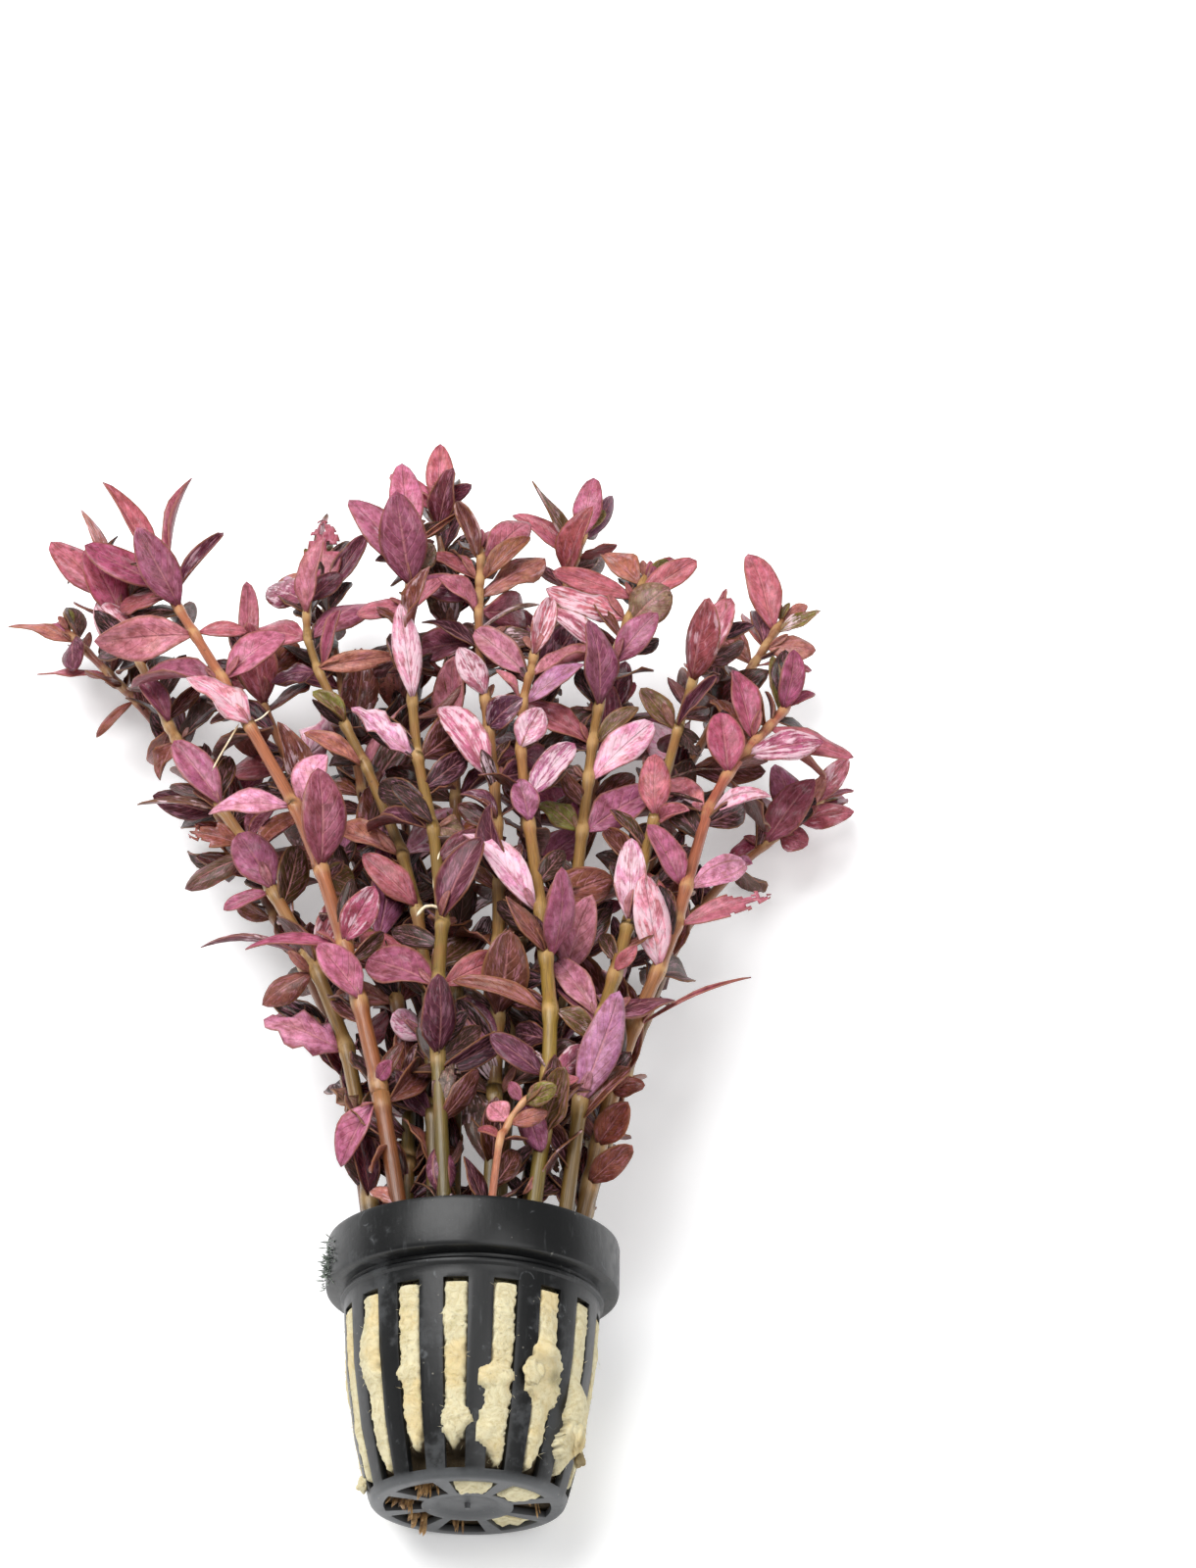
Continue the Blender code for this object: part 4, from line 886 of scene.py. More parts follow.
def wool_point(turn, row):
    """A point of the wool for a row of the foot, of the side or of the top."""
    kind, value = row
    if kind == "foot":
        radius, along = value, wool_foot(turn, value)
    elif kind == "side":
        radius, along = wool_reach(turn, value), value
    else:
        radius = value
        along = WOOL_TOP + 0.9 * noise.noise(Vector((value * math.cos(turn * 6.28) * 0.4,
                                                     value * math.sin(turn * 6.28) * 0.4, 3)))
    place = in_pot(turn, radius, along)
    place.z = max(place.z, WOOL_LOW)
    return place


def make_wool(finish):
    """The plug as one surface: the foot from its middle, the side, the top to its middle."""
    bm = new_bmesh("wool_state")
    foot, side, top = WOOL_ROWS
    edge, low = WOOL_FOOT
    rows = [("foot", edge * n / foot) for n in range(foot + 1)]
    rows += [("side", low + (WOOL_TOP - low) * n / side) for n in range(side + 1)]
    rows += [("top", WOOL_MOUTH * (1 - n / top)) for n in range(top + 1)]
    last = len(rows) - 1
    corners = wrapped_grid(bm, WOOL_AROUND, last,
                           lambda u, v: wool_point(u, rows[round(v * last)]))
    into_pot = POT_PLACE.inverted()
    for corner in corners:
        place = into_pot @ corner.co
        paint_corners(bm, [corner], "wool_state", (wool_stain_and_shade(place), 0, 0))
    bmesh.ops.remove_doubles(bm, verts=bm.verts, dist=0.001)
    for tuft in TUFTS:
        add_lump(bm, tuft)
    piece_from(bm, "rock_wool_plug", [finish], ["rock_wool"], "wool")


def make_fibres(finish, rng):
    """Loose fibres that stand out of the wool in the slots and in the foot's openings."""
    bm = new_bmesh("wool_state")
    for _ in range(WOOL_FIBRES):
        slot = rng.randrange(POT_FLATS // 2)
        turn = (2 * slot - 0.5 + rng.uniform(-0.62, 0.62)) / POT_FLATS % 1.0
        along = rng.uniform(LOW_ENDS.get(slot, 3.0), SLOT_END - 1)
        start = in_pot(turn, wool_reach(turn, along) - 0.15, along)
        out = (in_pot(turn, 99, along) - in_pot(turn, 0, along)).normalized()
        lean = scatter(rng, 1)
        reach = (lean - out * (lean.dot(out) - rng.uniform(0.1, 0.5))).normalized()
        size = rng.uniform(0.6, 1.8)
        way = [start, start + reach * size * 0.5 + out * 0.15, start + reach * size + out * 0.1]
        if min(place.z for place in way) < 2 * WOOL_LOW:
            continue
        add_tube(bm, [Vector((*place, 0.04)) for place in way], 3)
    paint_corners(bm, bm.verts, "wool_state", (0.1, 0, 0))
    piece_from(bm, "wool_fibres", [finish], slot="wool")


def wool_stain_and_shade(place):
    """How brown the wool is at a point of the pot's frame: its stains, and painted shade where it
    sinks into the slots.
    """
    turn = math.atan2(place.y, place.x) / (2 * math.pi) % 1.0
    slot, _ = nearest_slot(turn)
    low = LOW_ENDS.get(slot, 4.0)
    sunk = body_radius(place.z) - math.hypot(place.x, place.y)
    stain = 0.0
    # Painted shade: wool sunk behind the pot's surface is darker, most of all at the slots' low
    # ends
    if place.z > SLOT_START:
        stain = 1.2 * smooth(0.7, 2.0, sunk) * (1 - smooth(low, low + 3.0, place.z)) \
            + 0.35 * smooth(-0.15, 0.5, sunk)
    if slot in STAINS:
        middle, run, depth = STAINS[slot]
        stain += depth * math.exp(-((place.z - middle) / run) ** 4)
    return min(1.0, stain + 0.15 * max(0.0, noise.noise(place * 0.35)))


def in_pot(turn, radius, along):
    """A point given by a share of a turn, a radius and a distance from the foot."""
    angle = 2 * math.pi * turn
    return POT_PLACE @ Vector((radius * math.cos(angle), radius * math.sin(angle), along))


def add_lump(bm, tuft):
    """A loose lump of wool that hangs on the pot's side."""
    centre = in_pot(tuft.turn, tuft.radius, tuft.along)
    corners = bmesh.ops.create_icosphere(bm, subdivisions=4, radius=1.0)["verts"]
    turned = POT_PLACE.to_3x3() @ Matrix.Rotation(2 * math.pi * tuft.turn, 3, "Z")
    for corner in corners:
        out = corner.co.copy()
        rough = 1 + 0.45 * noise.noise(out * 1.6 + Vector((tuft.along, 0, 0))) \
            + 0.12 * noise.noise(out * 6)
        corner.co = centre + turned @ Vector((out.x * tuft.size[0], out.y * tuft.size[1],
                                              out.z * tuft.size[2])) * rough
    paint_corners(bm, corners, "wool_state", (tuft.stain, 0, 0))


# Roots, threads and scraps

def make_roots(finish, rng):
    """Cut root stubs that stick out of the foot's openings, each with a few strands."""
    bm = new_bmesh()
    for stub in ROOT_STUBS:
        for number in range(stub.strands):
            spread = scatter(rng, 0.5)
            start = in_pot(stub.turn, 9.4, 3.2) + spread
            way = [start, in_pot(stub.turn, 9.6, 0.6) + spread * 1.5,
                   in_pot(stub.turn, stub.reach, -stub.out) + spread * 1.7]
            thick = stub.thick * (1.0 if number == 0 else rng.uniform(0.2, 0.45))
            add_strand(bm, way, thick, 8)
    piece_from(bm, "root_stubs", [finish], slot="wool")


def stem_near(shoot, pixel):
    """The place on a shoot's centre line that shows nearest to a pixel."""
    places = [Vector(row[:3]) for row in smooth_route(shoot.rings)]
    return min(places, key=lambda place: math.dist(pixel_of(place), pixel))


def make_threads(shoots, finish):
    """Hair roots that lie over the stems."""
    bm = new_bmesh()
    for thread in THREADS:
        shoot = shoots[thread.shoot]
        rise = stem_near(shoot, thread.pixels[0]).z + thread.lift
        way = [seen_at(pixel, rise + step * thread.fall)
               for step, pixel in enumerate(thread.pixels)]
        add_strand(bm, way, thread.thick, 6)
    piece_from(bm, "hair_roots", [finish], slot="wool")


def make_algae(finish, rng):
    """A tuft of grey-green algae on the collar's left edge."""
    bm = new_bmesh()
    for _ in range(ALGAE_STRANDS):
        turn = ALGAE_TURN + rng.gauss(0, 0.012)
        along = ALGAE_ALONG + rng.gauss(0, 1.6)
        start = in_pot(turn, COLLAR_RADIUS - 0.1, along)
        out = (in_pot(turn, COLLAR_RADIUS + 1, along) - start).normalized()
        bend = scatter(rng, 0.6)
        reach = rng.uniform(0.2, 0.8)
        way = [start, start + out * reach * 0.6 + bend * 0.5, start + out * reach + bend]
        add_strand(bm, way, 0.22, 4)
    piece_from(bm, "algae_tuft", [finish], slot="wool")


def make_scraps(shoots, finishes, rng):
    """Dead and broken leaves that still hang on their stems."""
    bm = new_bmesh("leaf_colour", "leaf_state")
    for scrap in SCRAPS:
        joint = stem_near(shoots[scrap.shoot], scrap.base)
        tip = seen_at(scrap.tip, joint.z + scrap.rise)
        leaf = free_leaf(joint, tip, scrap.width, rng.gauss(0, 0.5))
        habit = draw_habit(rng, scrap.tip)
        decay = 0.75 if scrap.tone in ("ash", "umber", "dried") else 0.35
        look = Look(TONES[scrap.tone], scrap.film, decay)
        torn = scrap.tone in ("ash", "dried") and scrap.width > 3
        add_leaf(bm, leaf, habit, look, rng.random(), torn)
    give_blade(piece_from(bm, "dead_leaves", finishes, slot="plant_plum", closed=False))


# Shader maths

class Value:
    """A shader socket that adds, subtracts and multiplies like a number."""

    def __init__(self, paint, socket):
        self.paint = paint
        self.socket = socket

    def maths(self, operation, *values):
        inputs = dict(enumerate(values))
        return self.paint.node("ShaderNodeMath", {"operation": operation}, inputs)

    def __add__(self, other):
        return self.maths("ADD", self, other)

    __radd__ = __add__

    def __sub__(self, other):
        return self.maths("SUBTRACT", self, other)

    def __rsub__(self, other):
        return self.maths("SUBTRACT", other, self)

    def __mul__(self, other):
        return self.maths("MULTIPLY", self, other)

    __rmul__ = __mul__

    def __pow__(self, other):
        return self.maths("POWER", self, other)

    def __abs__(self):
        return self.maths("ABSOLUTE", self)

    def part(self):
        """What is left over a whole number."""
        return self.maths("FRACT", self)

    def step(self, low, high):
        """0 below low and 1 above high, evenly between them."""
        return self.paint.node("ShaderNodeMapRange", {"interpolation_type": "SMOOTHSTEP"},
                               {"Value": self, "From Min": low, "From Max": high})


class Paint:
    """A Principled material under construction."""

    def __init__(self, name, **fixed):
        self.material = bpy.data.materials.new(name)
        self.material.use_nodes = True
        self.tree = self.material.node_tree
        self.shader = self.tree.nodes["Principled BSDF"]
        for socket, value in fixed.items():
            self.shader.inputs[socket.replace("_", " ")].default_value = value

    def node(self, kind, settings=None, inputs=None, out=0):
        """Any node: its settings, then the values or links of its sockets."""
        made = self.tree.nodes.new(kind)
        for name, value in (settings or {}).items():
            setattr(made, name, value)
        for name, value in (inputs or {}).items():
            if isinstance(value, Value):
                self.tree.links.new(value.socket, made.inputs[name])
            else:
                made.inputs[name].default_value = value
        return Value(self, made.outputs[out])

    def place(self):
        return self.node("ShaderNodeTexCoord", out="Object")

    def attribute(self, name):
        return self.node("ShaderNodeAttribute", {"attribute_name": name}, out="Color")

    def channels(self, colour):
        """The three channels of a colour as numbers."""
        split = self.node("ShaderNodeSeparateColor", inputs={"Color": colour}).socket.node
        return [Value(self, split.outputs[n]) for n in range(3)]

    def uv(self):
        """The piece's own map: across and along."""
        flat = self.node("ShaderNodeUVMap", {"uv_map": "piece_uv"})
        split = self.node("ShaderNodeSeparateXYZ", inputs={"Vector": flat}).socket.node
        return Value(self, split.outputs["X"]), Value(self, split.outputs["Y"])

    def vector(self, x, y, z):
        return self.node("ShaderNodeCombineXYZ", inputs={"X": x, "Y": y, "Z": z})

    def clouds(self, place, scale, detail=4.0, roughness=0.55):
        """Noise from 0 to 1 with spots about 1 / scale metres wide."""
        return self.node("ShaderNodeTexNoise", inputs={
            "Vector": place, "Scale": scale, "Detail": detail, "Roughness": roughness})

    def dots(self, place, scale):
        """Distance to the nearest of many scattered points."""
        return self.node("ShaderNodeTexVoronoi", {"feature": "F1"},
                         {"Vector": place, "Scale": scale})

    def specks(self, place, scale, low, high):
        """1 in small scattered spots and 0 between them."""
        return 1 - self.dots(place, scale).step(low, high)

    def stretch(self, place, scale):
        return self.node("ShaderNodeMapping", inputs={"Vector": place, "Scale": scale})

    def mix(self, share, first, second, blend="MIX"):
        """One colour over another."""
        colours = [(*c, 1.0) if isinstance(c, (tuple, list)) and len(c) == 3 else c
                   for c in (first, second)]
        return self.node("ShaderNodeMix",
                         {"data_type": "RGBA", "blend_type": blend, "clamp_factor": True},
                         {0: share, 6: colours[0], 7: colours[1]}, out=2)

    def tint(self, share, base, colour):
        """A colour multiplied with another."""
        return self.mix(share, base, colour, "MULTIPLY")

    def finish(self, colour, roughness, height, relief):
        """Feed the shader and give the material."""
        bump = self.node("ShaderNodeBump", inputs={"Height": height, "Distance": relief,
                                                   "Strength": 1.0})
        links = {"Base Color": colour, "Roughness": roughness, "Normal": bump}
        for name, value in links.items():
            self.tree.links.new(value.socket, self.shader.inputs[name])
        return self.material


# Finishes

def leaf_finish(name, settings, under):
    """A wet leaf blade: veins, mottling, dark specks, painted glare as pale patches, brown decay,
    pale edges.
    """
    paint = Paint(name, Coat_Weight=settings.wetness, Coat_Roughness=0.14, Specular_IOR_Level=0.12,
                  Subsurface_Weight=settings.glow, Subsurface_Scale=0.0012,
                  Subsurface_Radius=(1.0, 0.35, 0.4))
    place = paint.place()
    across, along = paint.uv()
    colour = paint.attribute("leaf_colour")
    film, decay, seed = paint.channels(paint.attribute("leaf_state"))
    side = abs(across - 0.5) * 2
    own = paint.vector(across * 2.4 + seed * 31, along * 4.5, seed * 17)
    streaked = paint.vector(across * 7 + seed * 31, along * 3.4 - side * 1.6, seed * 17)
    clouds = paint.clouds(place, 620, 6.0, 0.65)
    broad = paint.clouds(own, 1.0, 3.0)
    turned = paint.vector(along * 3.0 + seed * 53, across * 1.8, seed * 29)
    violet = paint.clouds(turned, 1.2, 3.0)
    smeared = paint.vector(across * 3.2 + seed * 7, along * 6.5, seed * 11)
    dirt = paint.clouds(smeared, 1.7, 6.0, 0.72)
    streaks = paint.clouds(streaked, 1.6, 4.0, 0.6)
    midrib = 1 - side.step(0.02, 0.1)
    bow = (along * 8 - (side ** 1.2) * 2.6 + clouds * 0.5).part()
    veins = (1 - abs(bow - 0.5).step(0.02, 0.13)) * (1 - side.step(0.6, 1.0))
    shade = paint.mix(clouds.step(0.3, 0.7), (0.5, 0.36, 0.34), (1.16, 1.08, 1.09))
    base = paint.tint(1.0, colour, shade)
    base = paint.tint(broad.step(0.42, 0.7) * 0.45, base, (0.66, 0.78, 0.42))
    base = paint.tint(violet.step(0.48, 0.68) * 0.45, base, (0.84, 0.62, 0.9))
    base = paint.tint(dirt.step(0.5, 0.66) * 0.55, base, (0.6, 0.44, 0.36))
    base = paint.mix(streaks.step(0.5, 0.68) * 0.34, base, tuple(settings.streak))
    base = paint.mix(midrib * 0.45 * (1.15 - along) + veins * 0.16, base, tuple(settings.vein))
    base = paint.mix(side.step(0.86, 0.98) * 0.6, base, tuple(settings.edge))
    if under:
        base = paint.mix(0.3, base, tuple(settings.under))
    specks = paint.specks(place, 1500, 0.1, 0.22) * clouds.step(0.5, 0.6)
    base = paint.mix(specks * 0.6, base, (0.05, 0.015, 0.03))
    rot = (paint.clouds(own, 1.7, 5.0, 0.7) + decay * 0.42).step(0.72, 0.86)
    base = paint.mix(rot * 0.8, base, tuple(settings.rot))
    # Painted highlight: pale patches that stand in for the glare of the wet blade
    glare_noise = paint.clouds(streaked, 1.1, 5.0, 0.6) * 0.6 + paint.clouds(place, 380, 5.0) * 0.4
    glare_patch = (glare_noise + film * 0.13).step(0.57, 0.65) * film.step(0.02, 0.5)
    base = paint.mix(glare_patch * 0.66, base, tuple(settings.film))
    rough = 0.36 - glare_patch * 0.1 + clouds * 0.14
    height = clouds * 0.5 + streaks * 0.5 - veins * 0.35 - midrib * 0.8
    if under:
        height = clouds * 0.4 + veins * 0.4 + midrib
    return paint.finish(base, rough, height, 0.00022)


def stem_finish(settings):
    """A smooth fleshy stem: fine streaks along it, pale rings at the nodes, small scars."""
    paint = Paint("stem_skin", Coat_Weight=settings.wetness, Coat_Roughness=0.15,
                  Subsurface_Weight=0.12, Subsurface_Scale=0.001,
                  Subsurface_Radius=(1.0, 0.5, 0.25))
    place = paint.place()
    across, along = paint.uv()
    tinted = paint.attribute("stem_colour")
    node = paint.node("ShaderNodeAttribute", {"attribute_name": "stem_colour"}, out="Alpha")
    fine = paint.clouds(paint.vector(across * 14, along * 9, 0.0), 3.0, 5.0, 0.6)
    clouds = paint.clouds(place, 420, 4.0)
    blotch = paint.clouds(place, 140, 3.0)
    shade = paint.mix(fine.step(0.3, 0.7), (0.42, 0.36, 0.3), (0.86, 0.8, 0.7))
    base = paint.tint(1.0, tinted, shade)
    base = paint.mix(blotch.step(0.5, 0.72) * 0.35, base, tuple(settings.blush))
    base = paint.mix(node * 0.5 * clouds.step(0.3, 0.6), base, tuple(settings.node))
    scars = paint.specks(place, 520, 0.06, 0.16) * clouds.step(0.5, 0.62)
    base = paint.mix(scars * 0.6, base, (0.06, 0.03, 0.015))
    rough = 0.34 + clouds * 0.2
    return paint.finish(base, rough, fine * 0.7 + clouds * 0.5, 0.00014)


def pot_finish(settings):
    """Moulded plastic: fine grain, grey rubbed patches, dull water marks and scratches, and a
    lighter grey foot that is painted reflection of the pale floor with some scuffing.
    """
    paint = Paint("pot_plastic_worn", Specular_IOR_Level=0.3, Coat_Weight=0.12,
                  Coat_Roughness=0.2)
    place = paint.place()
    big = paint.clouds(place, 60, 5.0, 0.6)
    small = paint.clouds(place, 420, 5.0, 0.65)
    lines = paint.clouds(paint.stretch(place, (900, 120, 260)), 1.0, 4.0, 0.6)
    wear_and_reflection = (big + small * 0.4).step(0.74, 0.86)
    along = paint.node("ShaderNodeVectorMath", {"operation": "DOT_PRODUCT"},
                       {0: place, 1: tuple(POT_AXIS)}, out="Value")
    # Painted reflection: the foot is lighter grey, as if the pale floor showed in it, with some
    # scuffing
    foot = 1 - (along - POT_FOOT_ALONG + small * 0.001).step(0.0008, 0.0022)
    base = paint.mix(foot * 0.6, tuple(settings.plastic), tuple(settings.wear_and_reflection))
    base = paint.mix(wear_and_reflection * 0.3, base, tuple(settings.wear_and_reflection))
    base = paint.mix(lines.step(0.6, 0.76) * 0.2, base, tuple(settings.wear_and_reflection))
    marks = paint.dots(place, 260)
    ring = (1 - abs(marks - 0.3).step(0.0, 0.05)) * small.step(0.55, 0.66)
    base = paint.mix(ring * 0.35, base, (0.16, 0.17, 0.18))
    specks = paint.specks(place, 900, 0.08, 0.18) * small.step(0.56, 0.64)
    base = paint.mix(specks * 0.5, base, (0.32, 0.3, 0.25))
    rough = 0.34 + wear_and_reflection * 0.18 + small * 0.16
    return paint.finish(base, rough, small * 0.6 + lines * 0.4, 0.00008)


def wool_finish(settings):
    """Matted mineral fibres, cream with tan stains, dark stains and painted shade in the slots."""
    paint = Paint("wool_matted", Specular_IOR_Level=0.2, Subsurface_Weight=0.15,
                  Subsurface_Scale=0.001, Subsurface_Radius=(1.0, 0.8, 0.5))
    place = paint.place()
    stain = paint.channels(paint.attribute("wool_state"))[0]
    drift = paint.node("ShaderNodeTexNoise", inputs={"Vector": place, "Scale": 300.0},
                       out="Color")
    bent = paint.node("ShaderNodeVectorMath", {"operation": "MULTIPLY_ADD"},
                      {0: drift, 1: (0.004, 0.004, 0.004), 2: place})
    long_fibres = paint.clouds(paint.stretch(bent, (700, 1500, 900)), 1.0, 6.0, 0.75)
    cross_fibres = paint.clouds(paint.stretch(bent, (1500, 800, 1300)), 1.0, 6.0, 0.75)
    lumps = paint.clouds(place, 330, 4.0)
    soft = paint.clouds(place, 110, 3.0)
    fibres = long_fibres * 0.5 + cross_fibres * 0.5
    base = paint.mix(fibres.step(0.38, 0.56), tuple(settings.shadow), tuple(settings.cream))
    base = paint.mix(soft.step(0.48, 0.66) * 0.55, base, tuple(settings.tan))
    damp = paint.clouds(place, 190, 4.0, 0.6)
    base = paint.mix(damp.step(0.56, 0.7) * 0.5, base, tuple(settings.damp))
    # Dark stains, and painted shade where the wool sinks into the slots
    brown = (stain + soft * 0.45 + fibres * 0.3 - 0.42).step(0.25, 0.7)
    base = paint.mix(brown * 0.92, base, tuple(settings.stain))
    specks = paint.specks(place, 700, 0.08, 0.2) * lumps.step(0.56, 0.66)
    base = paint.mix(specks * 0.35, base, (0.16, 0.09, 0.04))
    rough = 0.82 + fibres * 0.12
    return paint.finish(base, rough, fibres * 1.4 + lumps * 0.5, 0.0004)


def strand_finish(name, dark, light, wet=0.2):
    """Roots, hair roots and algae: two tones in fine clouds."""
    paint = Paint(name, Coat_Weight=wet, Coat_Roughness=0.3)
    place = paint.place()
    fine = paint.clouds(place, 1100, 5.0, 0.65)
    broad = paint.clouds(place, 260, 3.0)
    base = paint.mix((fine * 0.6 + broad * 0.5).step(0.4, 0.7), dark, light)
    return paint.finish(base, 0.5 + fine * 0.3, fine * 1.0 + broad * 0.2, 0.0002)


def floor_finish(settings):
    """A plain pale surface with a hint of paper grain."""
    paint = Paint("pale_surface", Specular_IOR_Level=0.1, Emission_Color=(1, 1, 1, 1),
                  Emission_Strength=0.27)
    place = paint.place()
    grain = paint.clouds(place, 240, 3.0)
    base = paint.mix(grain, tuple(0.97 * c for c in settings.floor), tuple(settings.floor))
    return paint.finish(base, 0.85 + grain * 0.05, grain * 0.2, 0.0001)


# Settings that a user would change

def colour_setting(name, about, default):
    return bpy.props.FloatVectorProperty(name=name, description=about, subtype="COLOR", size=3,
                                         min=0.0, max=1.0, default=default)


def share_setting(name, about, default):
    return bpy.props.FloatProperty(name=name, description=about, subtype="FACTOR",
                                   min=0.0, max=1.0, default=default)


def size_setting(name, about, default, low, high):
    return bpy.props.FloatProperty(name=name, description=about, unit="LENGTH", precision=5,
                                   min=low, max=high, default=default)


class RotalaLeafSettings(bpy.types.PropertyGroup):
    thickness: size_setting("Thickness", "Thickness of a leaf's blade", 0.00022, 0.0001, 0.001)
    wetness: share_setting("Wetness", "Weight of the clear wet coat", 0.2)
    glow: share_setting("Glow", "How much light passes into the blade", 0.12)
    vein: colour_setting("Vein", "Colour of the midrib and the side veins", srgb(206, 140, 140))
    edge: colour_setting("Edge", "Colour of the thin edge of a blade", srgb(134, 92, 60))
    streak: colour_setting("Streak", "Colour of the streaks between the veins",
                           srgb(214, 146, 172))
    under: colour_setting("Underside", "Tint of a blade's underside", srgb(138, 92, 84))
    # Painted highlight: colour of the pale patches that stand in for the glare of wet leaves
    film: colour_setting("Film", "Colour of the dry film on some leaves", srgb(236, 204, 214))
    rot: colour_setting("Decay", "Colour of decayed spots", srgb(58, 42, 34))


class RotalaStemSettings(bpy.types.PropertyGroup):
    wetness: share_setting("Wetness", "Weight of the clear wet coat", 0.25)
    node: colour_setting("Node", "Colour of the rings where leaves sit", srgb(214, 176, 120))
    blush: colour_setting("Blush", "Colour of the blotches along a stem", srgb(150, 84, 52))


class RotalaPotSettings(bpy.types.PropertyGroup):
    edge: size_setting("Edge", "Rounding of the moulded edges", 0.00016, 0.0, 0.0005)
    plastic: colour_setting("Plastic", "Colour of the moulded plastic", srgb(12, 13, 14))
    # This grey also paints the pale floor's reflection on the foot
    wear_and_reflection: colour_setting("Worn", "Colour of rubbed and dusty patches", srgb(96, 98, 100))


class RotalaWoolSettings(bpy.types.PropertyGroup):
    cream: colour_setting("Cream", "Colour of clean wool", srgb(222, 213, 178))
    shadow: colour_setting("Shadow", "Colour between the fibres", srgb(200, 186, 144))
    tan: colour_setting("Tan", "Colour of the light stains", srgb(222, 196, 138))
    damp: colour_setting("Damp", "Colour of the grey-green damp spots", srgb(178, 170, 124))
    # This colour also paints the shade of wool sunk in the slots
    stain: colour_setting("Stain", "Colour of the dark stains", srgb(58, 40, 24))


class RotalaStageSettings(bpy.types.PropertyGroup):
    floor: colour_setting("Surface", "Colour of the surface under the plant",
                          (0.93, 0.935, 0.945))
    key: bpy.props.FloatProperty(
        name="Key light", description="Power of the large soft light, in watts", default=34.0,
        min=0.0, max=200.0)
    sky: bpy.props.FloatProperty(
        name="Room light", description="Strength of the even light all round", default=0.27,
        min=0.0, max=5.0)


# Operators

class ROTALA_OT_shoots(bpy.types.Operator):
    """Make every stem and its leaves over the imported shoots"""
    bl_idname = "rotala.shoots"
    bl_label = "Stems and leaves"

    def execute(self, context):
        names = [name for name in frame["nodes"] if "shoot" in name]
        leaves = context.scene.rotala_leaf
        finishes = [leaf_finish("leaf_upper", leaves, False),
                    leaf_finish("leaf_under", leaves, True)]
        skin = stem_finish(context.scene.rotala_stem)
        canopy = Canopy(names)
        for number, name in enumerate(names):
            shoot = SHOOTS[name]
            make_stem(shoot, skin)
            make_leaves(shoot, canopy, finishes, random.Random(100 + number))
        return {"FINISHED"}


class ROTALA_OT_net_pot(bpy.types.Operator):
    """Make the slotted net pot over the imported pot"""
    bl_idname = "rotala.net_pot"
    bl_label = "Net pot"

    def execute(self, context):
        make_pot(pot_finish(context.scene.rotala_pot), context.scene.rotala_pot.edge)
        return {"FINISHED"}


class ROTALA_OT_rock_wool(bpy.types.Operator):
    """Make the rock wool that swells out through the slots"""
    bl_idname = "rotala.rock_wool"
    bl_label = "Rock wool"

    def execute(self, context):
        finish = wool_finish(context.scene.rotala_wool)
        make_wool(finish)
        make_fibres(finish, random.Random(3))
        return {"FINISHED"}


class ROTALA_OT_roots(bpy.types.Operator):
    """Make the root stubs, the hair roots and the algae"""
    bl_idname = "rotala.roots"
    bl_label = "Roots and algae"

    def execute(self, context):
        rng = random.Random(7)
        make_roots(strand_finish("root_brown", srgb(92, 62, 30), srgb(190, 148, 92)), rng)
        make_threads(SHOOTS, strand_finish("root_white", srgb(214, 190, 150), srgb(246, 232, 206)))
        make_algae(strand_finish("algae_grey", srgb(56, 66, 58), srgb(150, 160, 148), 0.0), rng)
        return {"FINISHED"}


class ROTALA_OT_scraps(bpy.types.Operator):
    """Make the dead and broken leaves inside the bunch"""
    bl_idname = "rotala.scraps"
    bl_label = "Dead leaves"

    def execute(self, context):
        finishes = [bpy.data.materials["leaf_upper"], bpy.data.materials["leaf_under"]]
        make_scraps(SHOOTS, finishes, random.Random(11))
        return {"FINISHED"}


class ROTALA_OT_stage(bpy.types.Operator):
    """Set the pale surface, the lights and the camera"""
    bl_idname = "rotala.stage"
    bl_label = "Stage"

    def execute(self, context):
        settings = context.scene.rotala_stage
        set_floor(floor_finish(settings))
        set_lights(settings)
        set_camera()
        return {"FINISHED"}


def set_floor(finish):
    bm = bmesh.new()
    bmesh.ops.create_grid(bm, x_segments=8, y_segments=8, size=FLOOR_HALF)
    mesh = bpy.data.meshes.new("pale_floor")
    bm.to_mesh(mesh)
    bm.free()
    mesh.materials.append(finish)
    floor = bpy.data.objects.new("pale_floor", mesh)
    bpy.context.scene.collection.objects.link(floor)


def set_lights(settings):
    """A large soft light over the left shoulder and even light all round."""
    world = bpy.data.worlds.new("room")
    world.use_nodes = True
    sky = world.node_tree.nodes["Background"]
    sky.inputs["Color"].default_value = (1.0, 1.0, 1.0, 1.0)
    sky.inputs["Strength"].default_value = settings.sky
    bpy.context.scene.world = world
    for name, place, size, share in LIGHTS:
        lamp = bpy.data.lights.new(name, "AREA")
        lamp.size = size
        lamp.energy = settings.key * share
        holder = bpy.data.objects.new(name, lamp)
        holder.location = place
        holder.rotation_euler = (-Vector(place)).to_track_quat("-Z", "Y").to_euler()
        bpy.context.scene.collection.objects.link(holder)


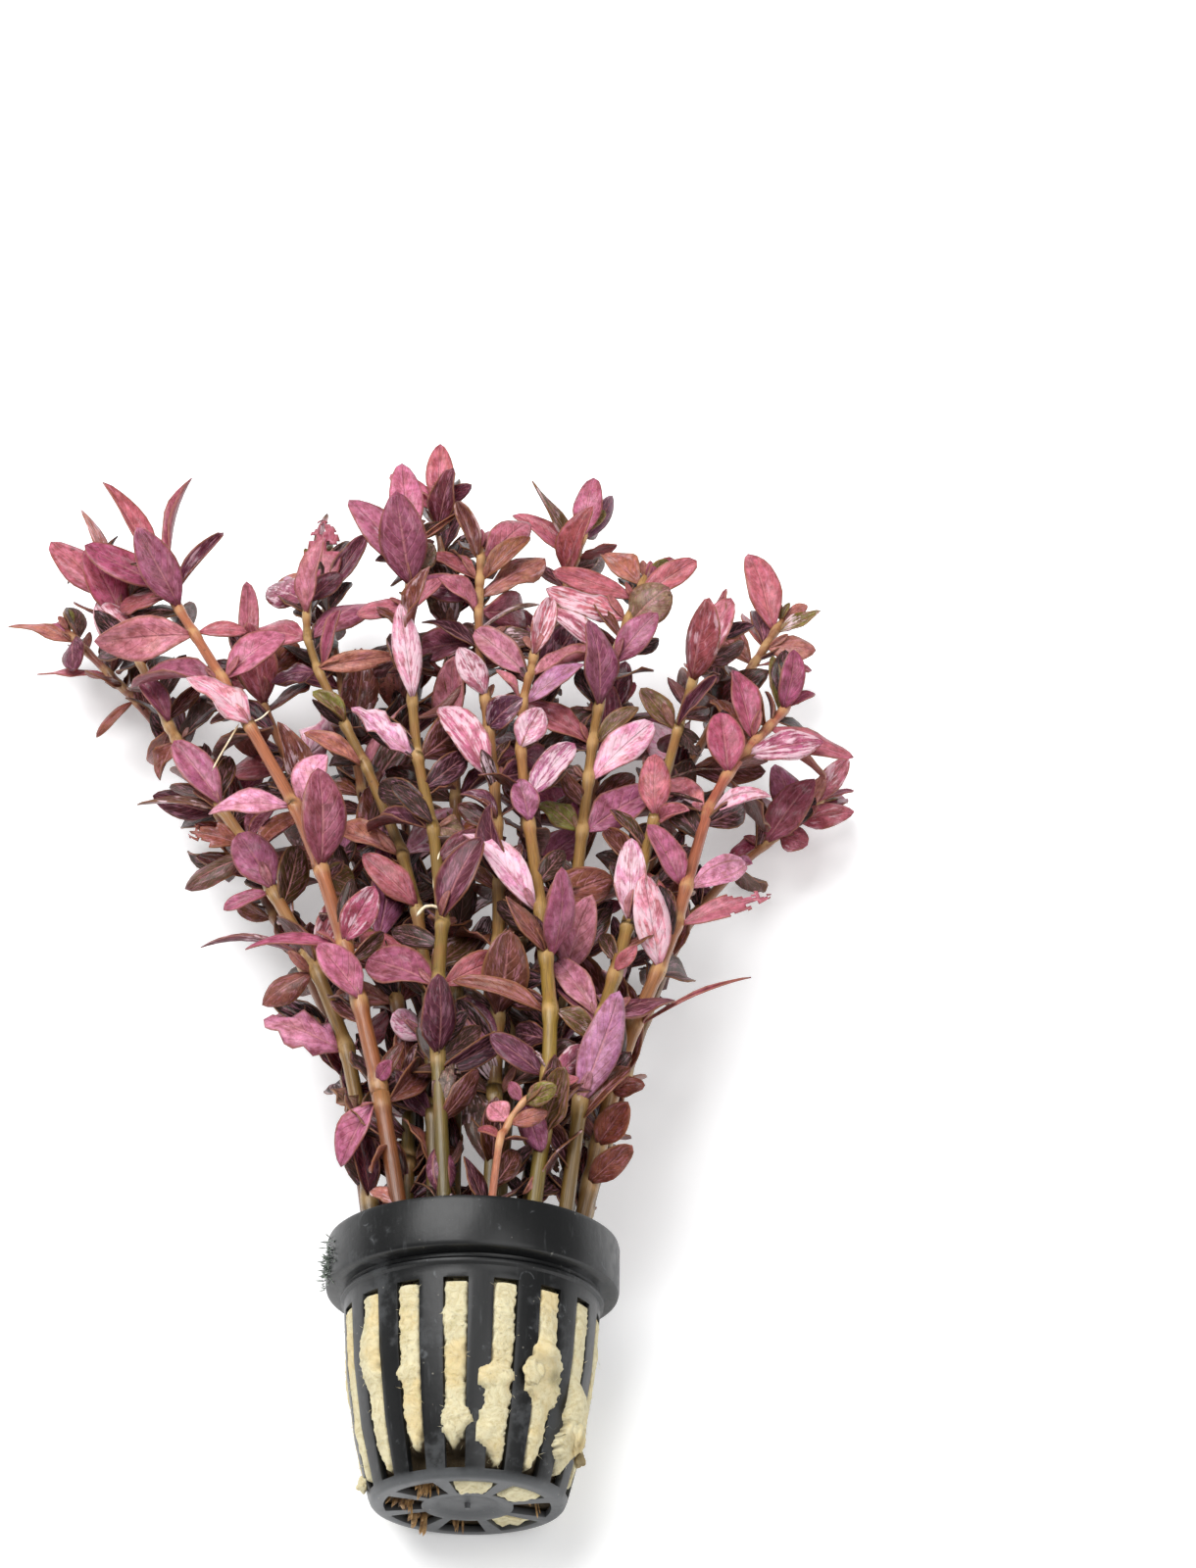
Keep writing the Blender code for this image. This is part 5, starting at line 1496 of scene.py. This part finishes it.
def set_camera():
    lens = bpy.data.cameras.new("reference_view")
    lens.sensor_width = SENSOR
    lens.lens = VIEW_FOCUS / VIEW_SIZE[1] * SENSOR
    lens.clip_end = 20.0
    camera = bpy.data.objects.new("reference_view", lens)
    camera.location = VIEW_POINT * MM
    camera.rotation_euler = (math.pi / 2 - VIEW_ELEVATION, 0, 0)
    bpy.context.scene.collection.objects.link(camera)
    bpy.context.scene.camera = camera
    bpy.context.scene.view_settings.view_transform = "Standard"


class ROTALA_PT_panel(bpy.types.Panel):
    """Lists the plant's pieces in the sidebar"""
    bl_idname = "ROTALA_PT_panel"
    bl_label = "Rotala in a net pot"
    bl_space_type = "VIEW_3D"
    bl_region_type = "UI"
    bl_category = "Rotala"

    def draw(self, context):
        for operator in OPERATORS:
            self.layout.operator(operator.bl_idname)
        for name in SETTINGS:
            group = getattr(context.scene, name)
            box = self.layout.box()
            for prop in group.bl_rna.properties:
                if not prop.is_readonly and prop.identifier != "name":
                    box.prop(group, prop.identifier)


SETTINGS = {
    "rotala_leaf": RotalaLeafSettings,
    "rotala_stem": RotalaStemSettings,
    "rotala_pot": RotalaPotSettings,
    "rotala_wool": RotalaWoolSettings,
    "rotala_stage": RotalaStageSettings,
}
OPERATORS = (ROTALA_OT_shoots, ROTALA_OT_net_pot, ROTALA_OT_rock_wool, ROTALA_OT_roots,
             ROTALA_OT_scraps, ROTALA_OT_stage)


def register():
    for made in (*SETTINGS.values(), *OPERATORS, ROTALA_PT_panel):
        bpy.utils.register_class(made)
    for name, group in SETTINGS.items():
        setattr(bpy.types.Scene, name, bpy.props.PointerProperty(type=group))


def unregister():
    for name in SETTINGS:
        delattr(bpy.types.Scene, name)
    for made in (ROTALA_PT_panel, *reversed(OPERATORS), *reversed(SETTINGS.values())):
        bpy.utils.unregister_class(made)


def main():
    """Register the add-on, read the shoots and run its operators in order."""
    register()
    for name in frame["nodes"]:
        if "shoot" in name:
            SHOOTS[name] = read_shoot(name)
    bpy.ops.rotala.shoots()
    bpy.ops.rotala.net_pot()
    bpy.ops.rotala.rock_wool()
    bpy.ops.rotala.roots()
    bpy.ops.rotala.scraps()
    bpy.ops.rotala.stage()


if __name__ == "__main__":
    main()
